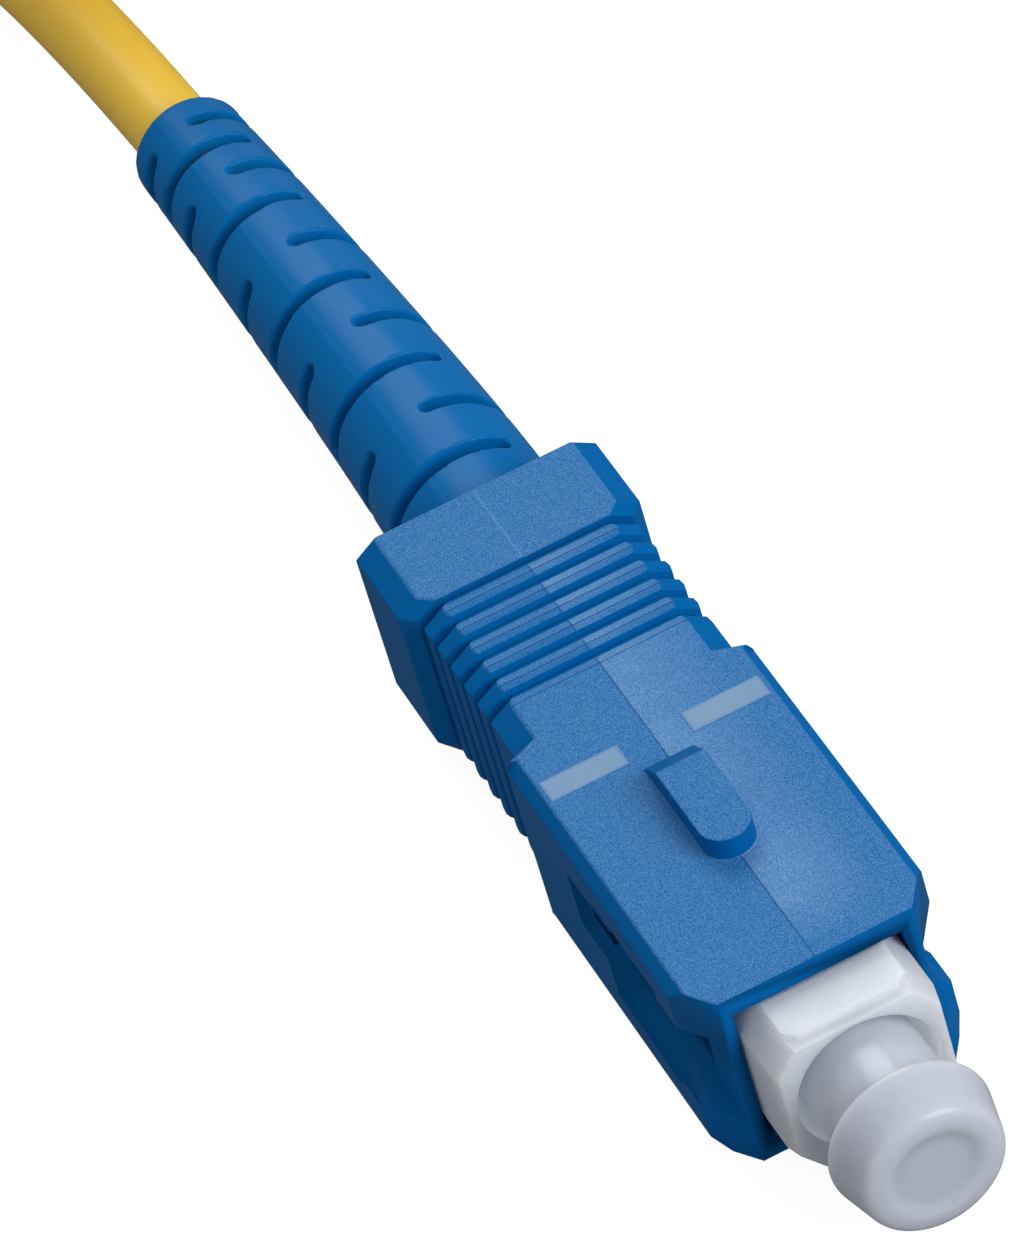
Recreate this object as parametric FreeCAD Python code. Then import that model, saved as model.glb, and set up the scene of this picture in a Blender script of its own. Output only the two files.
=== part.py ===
"""SC simplex fibre plug on a 3.0 mm jacketed cable, with its dust cap on.

Lengths are in millimetres. The plug lies along X with its mating end at +X, its key on top (+Z) and its
flat underside on z = 0. The places named x_... below count from the front face of the grip housing, and
ORIGIN_X then moves everything so that the origin is under the middle of the plug.
"""

import FreeCAD
import Part
import math
import os

Vector = FreeCAD.Vector

# Grip housing, the outer sleeve that is pushed and pulled
GRIP_WIDTH = 9.0
GRIP_HEIGHT = 7.4
GRIP_LENGTH = 26.1
GRIP_EDGE = 0.15
NOSE_CHAMFER_Y = 1.05
NOSE_CHAMFER_X = 1.6
COLLAR_LENGTH = 4.0
COLLAR_BEVEL = 0.5
COLLAR_CHAMFER_Y = 0.85
COLLAR_TOP_CHAMFER_Z = 0.55
COLLAR_BOTTOM_CHAMFER_Z = 1.0
RIB_COUNT = 6
RIB_PITCH = 1.07
RIB_DEPTH = 0.28
RIB_RAMP = 0.45
RIB_STEP = 0.04
RIB_SHOULDER = 0.03
RIB_LIP = 0.05
RIB_FLAT_END = 0.77
BAND_LENGTH = 1.45
BAND_CHAMFER_Y = 0.85
BAND_CHAMFER_Z = 0.55
ROOT_BORE = 6.2
MOUTH_WIDTH = 7.6
MOUTH_HEIGHT = 6.7
MOUTH_LENGTH = 4.3
MOUTH_CORNER_DIAMETER = 8.6

# Side windows for the latch hooks of an adapter
WINDOW_LENGTH = 9.95
WINDOW_HEIGHT = 3.7
WINDOW_REAR_HEIGHT = 1.1
WINDOW_REAR_LENGTH = 2.0
WINDOW_TAB_INSET = 0.3
BAR_LENGTH = 2.2
BAR_THICKNESS = 0.44
CAM_CREST_X = 3.1
CAM_FOOT_X = 5.9
CAM_STEP = 0.35

# Key and its place
KEY_WIDTH = 1.8
KEY_HEIGHT = 0.9
KEY_FRONT = 5.3
KEY_LENGTH = 5.4
KEY_RAMP = 1.3

# Plug frame, the inner body that carries the ferrule
FRAME_WIDTH = 6.0
FRAME_HEIGHT = 5.7
FRAME_CHAMFER_Y = 0.75
FRAME_CHAMFER_Z = 1.0
FRAME_PROTRUSION = 2.35
FRAME_NOSE_TAPER = 0.3
FRAME_NOSE_LENGTH = 0.75
FRAME_PAD_WIDTH = 4.4
FRAME_PAD_LENGTH = 1.95
FRAME_PAD_HEIGHT = 0.12
FRAME_PAD_SETBACK = 0.3
FRAME_PAD_CORNER = 0.4
FRAME_BODY_LENGTH = 12.0
FRAME_COLLAR_WIDTH = 7.1
FRAME_COLLAR_HEIGHT = 5.9
FRAME_COLLAR_LENGTH = 3.5
FRAME_BORE = 5.0
FRAME_BORE_DEPTH = 5.0
FRAME_WEB = 1.2
FRAME_WEB_HOLE = 3.6
LATCH_SLOT_LENGTH = 1.4
LATCH_SLOT_WIDTH = 2.6
FRAME_CLEARANCE = 0.06
GRIP_TRAVEL = 1.5
LATCH_SLOT_SETBACK = 0.9

# Ferrule unit
FERRULE_DIAMETER = 2.5
FERRULE_LENGTH = 10.5
FERRULE_TIP_BEVEL = 0.35
FERRULE_STANDOUT = 1.9
FIBRE_DIAMETER = 0.125
FIBRE_TAIL = 0.8
FLANGE_DIAMETER = 4.7
FLANGE_LENGTH = 2.4
FLANGE_NOTCH = 0.7
FLANGE_NOTCH_DEPTH = 0.45
FLANGE_NOTCH_LENGTH = 1.44
FLANGE_TUBE_DIAMETER = 2.9
FLANGE_TUBE_LENGTH = 3.2
FLOAT_TRAVEL = 1.0
GUIDE_DIAMETER = 1.7
GUIDE_LENGTH = 8.0
GUIDE_SEAT = 1.6
SPRING_WIRE = 0.4
SPRING_DIAMETER = 4.3
SPRING_TURNS = 5.5

# Back body, crimp and yarn
BACK_STEM_DIAMETER = 3.6
BACK_STEM_LENGTH = 5.4
BACK_GROOVES = 5
BACK_GROOVE_DEPTH = 0.12
BACK_FLANGE_DIAMETER = 5.9
BACK_FLANGE_LENGTH = 1.0
BACK_BARREL_LENGTH = 2.6
BACK_LATCH_HEIGHT = 0.3
YARN_THICKNESS = 0.25
CRIMP_WALL = 0.35
CRIMP_TAIL_LENGTH = 3.2
CRIMP_NECK_LENGTH = 0.7

# Strain relief boot
BOOT_ROOT_LENGTH = 4.0
BOOT_ROOT_DIAMETER = 5.6
BOOT_SHOULDER_DEPTH = 0.6
BOOT_LENGTH = 26.6
BOOT_BASE_DIAMETER = 6.15
BOOT_TIP_DIAMETER = 4.2
BOOT_TIP_CHAMFER = 0.35
BOOT_SECTIONS = 6
BOOT_BORE_GAP = 0.1
BOOT_CRIMP_ROOM = 5.0
BOOT_ROLL = 25.5
BOOT_SLOT_WIDTH = 0.6
BOOT_SLOT_SPAN = 135.0
BOOT_FIRST_SLOT = 3.8
BOOT_SLOT_STEPS = [2.6] * 6 + [2.2, 1.8, 1.6]

# Cable and its coil
JACKET_DIAMETER = 3.0
BUFFER_DIAMETER = 0.9
COIL_MEAN_RADIUS = 15.1
COIL_BUNDLE_WIDTH = 6.2
COIL_BUNDLE_HEIGHT = 19.2
COIL_ROUNDING = 1.5
CABLE_POINTS = [
    (-21.2, 0.0, 0.0),
    (-38.0, 0.0, 0.0),
    (-59.0, -0.5, -0.8),
    (-79.5, -2.8, -1.9),
]

# Dust cap
CAP_NECK_DIAMETER = 4.2
CAP_NECK_DEPTH = 2.9
CAP_HEAD_GAP = 2.6
CAP_HEAD_DIAMETER = 5.8
CAP_FRONT_DIAMETER = 4.8
CAP_HEAD_LENGTH = 2.2
CAP_ROUNDING = 0.35
CAP_DIMPLE_DIAMETER = 3.0
CAP_DIMPLE_DEPTH = 0.2
CAP_DIMPLE_SLOPE = 0.3
CAP_END_WALL = 1.5

# Clearances
RUN = 0.05
SOFT = 0.3
GLUE = 0.01
BUFFER_ROOM = 0.1
GUIDE_ROOM = 0.2

AXIS_Z = GRIP_HEIGHT / 2
x_cap_front = FRAME_PROTRUSION + CAP_HEAD_GAP + CAP_HEAD_LENGTH
x_web = FRAME_PROTRUSION - FRAME_BORE_DEPTH
x_seat = x_web - FRAME_WEB
x_frame_collar = FRAME_PROTRUSION - FRAME_NOSE_LENGTH - FRAME_BODY_LENGTH
x_frame_rear = x_frame_collar - FRAME_COLLAR_LENGTH
x_flange = x_seat - GLUE
x_tube = x_flange - FLANGE_LENGTH
x_back_front = x_frame_rear - GLUE + BACK_BARREL_LENGTH
x_back_flange = x_frame_rear - GLUE
x_stem = x_back_flange - BACK_FLANGE_LENGTH
x_stem_end = x_stem - BACK_STEM_LENGTH
x_jacket = CABLE_POINTS[0][0]
x_boot_root = -(GRIP_LENGTH - BOOT_ROOT_LENGTH)
x_boot_tip = -(GRIP_LENGTH + BOOT_LENGTH)
ORIGIN_X = -(x_cap_front + x_boot_tip) / 2

parts = {}


def keep(name, shape):
    """Store a finished sub-part, moved to the part's own frame."""
    moved = shape.Solids[0] if len(shape.Solids) == 1 else shape
    moved = moved.copy()
    moved.translate(Vector(ORIGIN_X, 0, 0))
    parts[name] = moved


def cylinder(x_rear, x_front, diameter, y=0.0, z=AXIS_Z):
    """A bar along X between two places."""
    return Part.makeCylinder(diameter / 2, x_front - x_rear, Vector(x_rear, y, z), Vector(1, 0, 0))


def pipe(x_rear, x_front, outer, inner):
    """A tube along X between two places."""
    return cylinder(x_rear, x_front, outer).cut(cylinder(x_rear, x_front, inner))


def revolved(profile):
    """A body turned about the plug's axis from (x, radius) points."""
    points = [Vector(x, 0, AXIS_Z + r) for x, r in profile]
    face = Part.Face(Part.makePolygon(points + points[:1]))
    return face.revolve(Vector(0, 0, AXIS_Z), Vector(1, 0, 0), 360)


def block(x_rear, x_front, width, height):
    """A rectangular bar centred on the axis."""
    corner = Vector(x_rear, -width / 2, AXIS_Z - height / 2)
    return Part.makeBox(x_front - x_rear, width, height, corner)


def octagon(x, width, height, cut_y, cut_top, cut_bottom):
    """A rectangle with cut corners in the plane of one x."""
    half_y = width / 2
    low = AXIS_Z - height / 2
    high = AXIS_Z + height / 2
    right = [(half_y, low + cut_bottom), (half_y, high - cut_top), (half_y - cut_y, high)]
    left = [(-y, z) for y, z in reversed(right)]
    outline = [(half_y - cut_y, low)] + right + left + [(-(half_y - cut_y), low)]
    points = [Vector(x, y, z) for y, z in outline]
    return Part.makePolygon(points + points[:1])


def prism(section, depth):
    """A section in the plane of one x, drawn out along +X."""
    return Part.Face(section).extrude(Vector(depth, 0, 0))


def mirrored_y(shape):
    """The same shape on the other side of the plug."""
    return shape.mirror(Vector(0, 0, 0), Vector(0, 1, 0))


def rib_zone(x_rear, x_front):
    """Saw-tooth finger ribs that run right round the sleeve: a step down, then a ramp up to the next."""
    band = (GRIP_WIDTH - 2 * COLLAR_BEVEL, GRIP_HEIGHT)

    def ring(x, inset):
        cuts = (BAND_CHAMFER_Y, BAND_CHAMFER_Z, COLLAR_BOTTOM_CHAMFER_Z)
        return octagon(x, band[0] - 2 * inset, band[1] - 2 * inset, *cuts)

    rings = [ring(x_rear, RIB_DEPTH)]
    for index in range(RIB_COUNT):
        start = x_rear + index * RIB_PITCH
        if index:
            rings.append(ring(start + RIB_STEP, RIB_DEPTH))
        rings.append(ring(start + RIB_RAMP, RIB_SHOULDER))
        rings.append(ring(start + RIB_FLAT_END, 0.0))
        if index < RIB_COUNT - 1:
            rings.append(ring(start + RIB_PITCH - RIB_STEP, RIB_LIP))
    rings.append(ring(x_front, 0.0))
    return Part.makeLoft(rings, True, True)


def grip_outer():
    """The sleeve's outside: collar, ribs, plain band and the square front with its cut corners."""
    x_collar = -GRIP_LENGTH + COLLAR_LENGTH
    x_band = x_collar + RIB_COUNT * RIB_PITCH
    x_square = x_band + BAND_LENGTH
    collar_cuts = (COLLAR_CHAMFER_Y, COLLAR_TOP_CHAMFER_Z, COLLAR_BOTTOM_CHAMFER_Z)
    narrow = GRIP_WIDTH - 2 * COLLAR_BEVEL
    shoulder = [
        octagon(-GRIP_LENGTH, GRIP_WIDTH, GRIP_HEIGHT, *collar_cuts),
        octagon(x_collar - COLLAR_BEVEL, GRIP_WIDTH, GRIP_HEIGHT, *collar_cuts),
        octagon(x_collar, narrow, GRIP_HEIGHT, *collar_cuts),
    ]
    collar = Part.makeLoft(shoulder, True, True)
    band_cuts = (BAND_CHAMFER_Y, BAND_CHAMFER_Z, COLLAR_BOTTOM_CHAMFER_Z)
    band = prism(octagon(x_band, narrow, GRIP_HEIGHT, *band_cuts), BAND_LENGTH)
    edge_cuts = (GRIP_EDGE, GRIP_EDGE, GRIP_EDGE)
    narrow_end = octagon(x_square, narrow, GRIP_HEIGHT, *band_cuts)
    square_start = octagon(x_square + COLLAR_BEVEL, GRIP_WIDTH, GRIP_HEIGHT, *edge_cuts)
    flare = Part.makeLoft([narrow_end, square_start], True, True)
    square = prism(square_start, -(x_square + COLLAR_BEVEL))
    body = collar.fuse([rib_zone(x_collar, x_band), band, flare, square])
    return body.cut([nose_cut(1), nose_cut(-1)])


def nose_cut(side):
    """The slanted cut on one upright corner of the front."""
    half = GRIP_WIDTH / 2
    over = 1.0
    points = [
        (0.0, half - NOSE_CHAMFER_Y),
        (-NOSE_CHAMFER_X, half),
        (-NOSE_CHAMFER_X, half + over),
        (over, half + over),
        (over, half - NOSE_CHAMFER_Y),
    ]
    outline = [Vector(x, side * y, -over) for x, y in points]
    face = Part.Face(Part.makePolygon(outline + outline[:1]))
    return face.extrude(Vector(0, 0, GRIP_HEIGHT + 2 * over))


def window_cut():
    """One side's window: the hook's way in over the bar, the cams and the narrow slot behind them."""
    half = GRIP_WIDTH / 2
    inner = FRAME_WIDTH / 2 + FRAME_CLEARANCE
    bar_face = inner + BAR_THICKNESS
    low = AXIS_Z - WINDOW_HEIGHT / 2
    over = 1.0
    x_narrow = -(WINDOW_LENGTH - WINDOW_REAR_LENGTH)
    corner = Vector(x_narrow, bar_face, low)
    way_in = Part.makeBox(-x_narrow + over, half + over - bar_face, WINDOW_HEIGHT, corner)
    depth = half + over - inner + SOFT
    corner = Vector(x_narrow, inner - SOFT, low)
    through = Part.makeBox(-x_narrow - BAR_LENGTH, depth, WINDOW_HEIGHT, corner)
    corner = Vector(-WINDOW_LENGTH, inner - SOFT, AXIS_Z - WINDOW_REAR_HEIGHT / 2)
    slot = Part.makeBox(WINDOW_REAR_LENGTH, depth, WINDOW_REAR_HEIGHT, corner)
    tab_face = half - WINDOW_TAB_INSET
    corner = Vector(-WINDOW_LENGTH, tab_face, AXIS_Z)
    tab_relief = Part.makeBox(WINDOW_REAR_LENGTH, half + over - tab_face, WINDOW_HEIGHT / 2, corner)
    ramp = [
        (-CAM_CREST_X, half),
        (-CAM_FOOT_X, bar_face),
        (x_narrow, bar_face),
        (x_narrow, half + over),
        (-CAM_CREST_X, half + over),
    ]
    outline = [Vector(x, y, low - CAM_STEP) for x, y in ramp]
    face = Part.Face(Part.makePolygon(outline + outline[:1]))
    behind_cam = face.extrude(Vector(0, 0, WINDOW_HEIGHT + 2 * CAM_STEP))
    return way_in.fuse([through, slot, tab_relief, behind_cam])


def key():
    """The polarity key: a bar with a half-round front that fades into the top at its rear."""
    radius = KEY_WIDTH / 2
    x_centre = -KEY_FRONT - radius
    x_rear = -KEY_FRONT - KEY_LENGTH
    base = GRIP_HEIGHT - KEY_HEIGHT
    rise = 2 * KEY_HEIGHT
    bar = Part.makeBox(x_centre - x_rear, KEY_WIDTH, rise, Vector(x_rear, -radius, base))
    nose = Part.makeCylinder(radius, rise, Vector(x_centre, 0, base))
    body = bar.fuse(nose).removeSplitter()
    high = GRIP_HEIGHT + 2 * KEY_HEIGHT
    wedge = [
        (x_rear - 1, GRIP_HEIGHT),
        (x_rear, GRIP_HEIGHT),
        (x_rear + KEY_RAMP, GRIP_HEIGHT + KEY_HEIGHT),
        (x_rear + KEY_RAMP, high),
        (x_rear - 1, high),
    ]
    outline = [Vector(x, -KEY_WIDTH, z) for x, z in wedge]
    sloped = Part.Face(Part.makePolygon(outline + outline[:1])).extrude(Vector(0, 2 * KEY_WIDTH, 0))
    return body.cut(sloped)


def grip_housing():
    """The outer sleeve with its channel, rear pocket, windows, key and rear mouth."""
    channel = block(
        -GRIP_LENGTH, 1.0, FRAME_WIDTH + 2 * FRAME_CLEARANCE, FRAME_HEIGHT + 2 * FRAME_CLEARANCE
    )
    x_pocket_rear = x_frame_rear - RUN
    channel = channel.common(block(x_pocket_rear, 1.0, GRIP_WIDTH, GRIP_HEIGHT))
    pocket = block(
        x_pocket_rear, x_frame_collar + GRIP_TRAVEL + RUN,
        FRAME_COLLAR_WIDTH + 2 * FRAME_CLEARANCE, FRAME_COLLAR_HEIGHT + 2 * FRAME_CLEARANCE,
    )
    bore = cylinder(-GRIP_LENGTH, x_pocket_rear + RUN, ROOT_BORE)
    x_mouth = -GRIP_LENGTH + MOUTH_LENGTH
    mouth = block(-GRIP_LENGTH - 1, x_mouth, MOUTH_WIDTH, MOUTH_HEIGHT)
    mouth = mouth.common(cylinder(-GRIP_LENGTH - 1, x_mouth, MOUTH_CORNER_DIAMETER))
    solid = grip_outer().fuse(key())
    left = window_cut()
    return solid.cut([channel, pocket, bore, mouth, left, mirrored_y(left)]).removeSplitter()


def plug_frame():
    """The inner body: a square sleeve with a round front bore, a web that stops the flange and a collar."""
    cuts = (FRAME_CHAMFER_Y, FRAME_CHAMFER_Z, FRAME_CHAMFER_Z)
    x_nose = FRAME_PROTRUSION - FRAME_NOSE_LENGTH
    body = prism(octagon(x_frame_collar, FRAME_WIDTH, FRAME_HEIGHT, *cuts), FRAME_BODY_LENGTH)
    tip = (FRAME_WIDTH - FRAME_NOSE_TAPER, FRAME_HEIGHT - FRAME_NOSE_TAPER)
    nose_rear = octagon(x_nose, FRAME_WIDTH, FRAME_HEIGHT, *cuts)
    nose = Part.makeLoft([nose_rear, octagon(FRAME_PROTRUSION, *tip, *cuts)], True, True)
    collar = block(x_frame_rear, x_frame_collar, FRAME_COLLAR_WIDTH, FRAME_COLLAR_HEIGHT)
    pad_front = FRAME_PROTRUSION - FRAME_PAD_SETBACK
    pad_rear = pad_front - FRAME_PAD_LENGTH
    pad_half = FRAME_PAD_WIDTH / 2
    pad_outline = [
        (pad_rear, -pad_half),
        (pad_front - FRAME_PAD_CORNER, -pad_half),
        (pad_front, -pad_half + FRAME_PAD_CORNER),
        (pad_front, pad_half - FRAME_PAD_CORNER),
        (pad_front - FRAME_PAD_CORNER, pad_half),
        (pad_rear, pad_half),
    ]
    pad_base = AXIS_Z + FRAME_HEIGHT / 2 - FRAME_NOSE_TAPER
    pad_points = [Vector(x, y, pad_base) for x, y in pad_outline]
    pad_face = Part.Face(Part.makePolygon(pad_points + pad_points[:1]))
    pad = pad_face.extrude(Vector(0, 0, FRAME_PAD_HEIGHT + FRAME_NOSE_TAPER))
    solid = body.fuse([nose, collar, pad])
    front_bore = cylinder(x_web, FRAME_PROTRUSION + 1, FRAME_BORE)
    web_hole = cylinder(x_seat - 1, x_web + 1, FRAME_WEB_HOLE)
    rear_bore = cylinder(x_frame_rear - 1, x_seat, FLANGE_DIAMETER + 2 * RUN)
    latch_x = x_frame_rear + LATCH_SLOT_SETBACK
    latch = block(latch_x, latch_x + LATCH_SLOT_LENGTH, GRIP_WIDTH, LATCH_SLOT_WIDTH)
    return solid.cut([front_bore, web_hole, rear_bore, latch]).removeSplitter()


def ferrule():
    """The ceramic ferrule with its bevelled tip and the fine hole for the glass."""
    tip = FRAME_PROTRUSION + FERRULE_STANDOUT
    radius = FERRULE_DIAMETER / 2
    rear = tip - FERRULE_LENGTH
    x_bevel = tip - FERRULE_TIP_BEVEL
    profile = [(rear, 0), (rear, radius), (x_bevel, radius), (tip, radius - FERRULE_TIP_BEVEL), (tip, 0)]
    hole = cylinder(rear - 1, tip + 1, FIBRE_DIAMETER + 2 * GLUE)
    return revolved(profile).cut(hole), rear, tip


def ferrule_flange(x_ferrule_rear):
    """The metal flange pressed on the ferrule: a notched collar and the tube that the spring runs on."""
    x_tube_end = x_tube - FLANGE_TUBE_LENGTH
    collar = cylinder(x_tube, x_flange, FLANGE_DIAMETER)
    tube = cylinder(x_tube_end, x_tube, FLANGE_TUBE_DIAMETER)
    seat = cylinder(x_ferrule_rear - GLUE, x_flange + 1, FERRULE_DIAMETER + 2 * GLUE)
    passage = cylinder(x_tube_end - 1, x_ferrule_rear + 1, BUFFER_DIAMETER + 2 * BUFFER_ROOM)
    guide_seat = cylinder(x_tube_end - 1, x_tube_end + GUIDE_SEAT, GUIDE_DIAMETER + 2 * GLUE)
    solid = collar.fuse(tube)
    notches = []
    for turn in range(4):
        floor = AXIS_Z + FLANGE_DIAMETER / 2 - FLANGE_NOTCH_DEPTH
        corner = Vector(x_flange - FLANGE_NOTCH_LENGTH, -FLANGE_NOTCH / 2, floor)
        notch = Part.makeBox(FLANGE_NOTCH_LENGTH, FLANGE_NOTCH, 2 * FLANGE_NOTCH_DEPTH, corner)
        notch.rotate(Vector(0, 0, AXIS_Z), Vector(1, 0, 0), 90 * turn + 45)
        notches.append(notch)
    return solid.cut([seat, passage, guide_seat] + notches), x_tube_end


def float_spring():
    """The coil spring that presses the ferrule unit forward."""
    front = x_tube - RUN - SPRING_WIRE / 2
    rear = x_back_front + RUN + SPRING_WIRE / 2
    pitch = (front - rear) / SPRING_TURNS
    radius = (SPRING_DIAMETER - SPRING_WIRE) / 2
    path = Part.makeHelix(pitch, front - rear, radius)
    start = Vector(radius, 0, 0)
    rise = Vector(0, 2 * math.pi * radius, pitch)
    section = Part.Wire(Part.makeCircle(SPRING_WIRE / 2, start, rise))
    wire = Part.Wire(path).makePipeShell([section], True, True)
    wire.rotate(Vector(0, 0, 0), Vector(0, 1, 0), 90)
    wire.translate(Vector(rear, 0, AXIS_Z))
    return wire


def back_body():
    """The turned rear body: barrel latched in the frame, flange, and the grooved stem for the yarn."""
    bore = GUIDE_DIAMETER + 2 * GUIDE_ROOM
    barrel_radius = FLANGE_DIAMETER / 2
    stem_radius = BACK_STEM_DIAMETER / 2
    barrel_wall = cylinder(x_back_flange, x_back_front, 2 * barrel_radius)
    flange = cylinder(x_stem, x_back_flange, BACK_FLANGE_DIAMETER)
    stem = cylinder(x_stem_end, x_stem, 2 * stem_radius)
    latch_x = x_frame_rear + LATCH_SLOT_SETBACK + RUN
    latch_length = LATCH_SLOT_LENGTH - 2 * RUN
    ring = cylinder(latch_x, latch_x + latch_length, 2 * (barrel_radius + RUN + BACK_LATCH_HEIGHT))
    latch = ring.common(block(latch_x, latch_x + latch_length, GRIP_WIDTH, LATCH_SLOT_WIDTH - 2 * RUN))
    solid = barrel_wall.fuse([flange, stem, latch])
    pitch = BACK_STEM_LENGTH / (BACK_GROOVES + 1)
    grooves = []
    for index in range(BACK_GROOVES):
        x_groove = x_stem - (index + 1) * pitch
        band = cylinder(x_groove - pitch / 4, x_groove + pitch / 4, 2 * stem_radius + 1)
        core = cylinder(x_groove - pitch / 4, x_groove + pitch / 4, 2 * (stem_radius - BACK_GROOVE_DEPTH))
        grooves.append(band.cut(core))
    hole = cylinder(x_stem_end - 1, x_back_front + 1, bore)
    return solid.cut([hole] + grooves)


def aramid_yarn():
    """The yarn layer laid back over the stem, under the crimp."""
    inner = BACK_STEM_DIAMETER + 2 * GLUE
    return pipe(x_stem_end, x_stem - RUN, inner + 2 * YARN_THICKNESS, inner)


def crimp_sleeve():
    """The stepped metal sleeve: wide over yarn and stem, narrow over the jacket."""
    wide = BACK_STEM_DIAMETER / 2 + GLUE + YARN_THICKNESS + GLUE
    narrow = JACKET_DIAMETER / 2 + GLUE
    front = x_stem - 2 * RUN
    step = x_stem_end - GLUE
    neck = step - CRIMP_NECK_LENGTH
    rear = neck - CRIMP_TAIL_LENGTH
    profile = [
        (front, wide), (front, wide + CRIMP_WALL), (step, wide + CRIMP_WALL), (neck, narrow + CRIMP_WALL),
        (rear, narrow + CRIMP_WALL), (rear, narrow), (neck, narrow), (step, wide),
    ]
    return revolved(profile)


def route_edges(points):
    """Straight runs joined by tangent arcs, each as large as its two runs allow."""
    vectors = [Vector(x, y, AXIS_Z + z) for x, y, z in points]
    edges = []
    start = vectors[0]
    for before, corner, after in zip(vectors, vectors[1:], vectors[2:]):
        way_in = (corner - before).normalize()
        way_out = (after - corner).normalize()
        turn = way_in.getAngle(way_out)
        reach = 0.45 * min((corner - before).Length, (after - corner).Length)
        radius = reach / math.tan(turn / 2)
        arc_start = corner - way_in * reach
        arc_end = corner + way_out * reach
        centre = corner + (way_out - way_in).normalize() * (radius / math.cos(turn / 2))
        middle = centre + (corner - centre).normalize() * radius
        edges.append(Part.LineSegment(start, arc_start).toShape())
        edges.append(Part.Arc(arc_start, middle, arc_end).toShape())
        start = arc_end
        print("cable arc radius %.1f mm, turn %.1f degrees" % (radius, math.degrees(turn)))
    edges.append(Part.LineSegment(start, vectors[-1]).toShape())
    return edges


def at_x(wire, x):
    """The place and direction of the cable's line at one x, counted in the plug's own frame."""
    for edge in wire.Edges:
        first, last = edge.FirstParameter, edge.LastParameter
        if edge.valueAt(first).x < x:
            first, last = last, first
        if not edge.valueAt(first).x >= x >= edge.valueAt(last).x:
            continue
        for _ in range(40):
            middle = (first + last) / 2
            if edge.valueAt(middle).x > x:
                first = middle
            else:
                last = middle
        tangent = edge.tangentAt(middle)
        return edge.valueAt(middle), tangent if tangent.x < 0 else tangent * -1
    raise ValueError("no place on the cable at x = %.2f" % x)


def coil_solid():
    """The coiled rest of the cable as one ring of its outer shape, which the cable joins along a tangent."""
    half = COIL_BUNDLE_WIDTH / 2
    outer_strand = COIL_MEAN_RADIUS + half - JACKET_DIAMETER / 2
    before, entry = [Vector(x, y, 0) for x, y, z in CABLE_POINTS[-2:]]
    heading = (entry - before).normalize()
    centre = entry + Vector(heading.y, -heading.x, 0) * outer_strand
    low = Part.makeCylinder(COIL_MEAN_RADIUS + half, COIL_BUNDLE_HEIGHT)
    ring = low.cut(Part.makeCylinder(COIL_MEAN_RADIUS - half, COIL_BUNDLE_HEIGHT))
    ring = ring.makeFillet(COIL_ROUNDING, [e for e in ring.Edges if e.Closed])
    ring.translate(centre)
    return ring


def boot_slot(place, direction, radius, roll):
    """One slot: a ring sector with round ends that cuts through the boot's wall."""
    half = BOOT_SLOT_WIDTH / 2
    floor = JACKET_DIAMETER / 2
    depth = radius + 1 - floor
    profile = Part.makeBox(2 * half, 0.01, depth, Vector(-half, 0, floor))
    face = [f for f in profile.Faces if abs(f.CenterOfMass.y) < 0.001][0]
    half_span = BOOT_SLOT_SPAN / 2 - math.degrees(half / radius)
    sector = face.revolve(Vector(0, 0, 0), Vector(1, 0, 0), 2 * half_span)
    sector.rotate(Vector(0, 0, 0), Vector(1, 0, 0), -half_span)
    ends = []
    for side in (-1, 1):
        end = Part.makeCylinder(half, depth, Vector(0, 0, floor))
        end.rotate(Vector(0, 0, 0), Vector(1, 0, 0), side * half_span)
        ends.append(end)
    slot = sector.fuse(ends)
    slot.rotate(Vector(0, 0, 0), Vector(1, 0, 0), roll)
    turned = FreeCAD.Placement(place, FreeCAD.Rotation(Vector(-1, 0, 0), direction))
    slot.Placement = turned.multiply(slot.Placement)
    return slot


def boot_radius(x):
    """The boot's outer radius, tapering from the housing to the tip."""
    share = (-GRIP_LENGTH - x) / BOOT_LENGTH
    share = min(max(share, 0.0), 1.0)
    return (BOOT_BASE_DIAMETER + (BOOT_TIP_DIAMETER - BOOT_BASE_DIAMETER) * share) / 2


def strain_boot(line):
    """The soft boot: a tapered sleeve along the cable, cut by pairs of slots turned a quarter each time."""
    def ring(x, radius):
        place, direction = at_x(line, x)
        return Part.Wire(Part.makeCircle(radius, place, direction))

    x_shoulder = -GRIP_LENGTH + BOOT_SHOULDER_DEPTH
    x_chamfer = x_boot_tip + BOOT_TIP_CHAMFER
    span = (x_shoulder - x_chamfer) / BOOT_SECTIONS
    stations = [x_shoulder - span * index for index in range(BOOT_SECTIONS + 1)]
    rings = [ring(x, boot_radius(x)) for x in stations]
    rings.append(ring(x_boot_tip, boot_radius(x_boot_tip) - BOOT_TIP_CHAMFER))
    root = cylinder(x_shoulder, x_boot_root, BOOT_ROOT_DIAMETER)
    outer = Part.makeLoft(rings, True, True).fuse(root)
    bore_radius = JACKET_DIAMETER / 2 + BOOT_BORE_GAP
    x_bore = min(x_boot_root, x_jacket - RUN)
    bore = Part.makeLoft([ring(x, bore_radius) for x in [x_bore] + stations + [x_boot_tip]], True, True)
    x_room = x_stem_end - CRIMP_NECK_LENGTH - CRIMP_TAIL_LENGTH - SOFT
    crimp_room = cylinder(x_room, x_boot_root + 1, BOOT_CRIMP_ROOM)
    cuts = [bore, crimp_room]
    x = -GRIP_LENGTH - BOOT_FIRST_SLOT
    for index, step in enumerate([0.0] + BOOT_SLOT_STEPS):
        x -= step
        place, direction = at_x(line, x)
        for side in (0, 180):
            cuts.append(boot_slot(place, direction, boot_radius(x), BOOT_ROLL + side + 90 * (index % 2)))
    return outer.cut(cuts)


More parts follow.
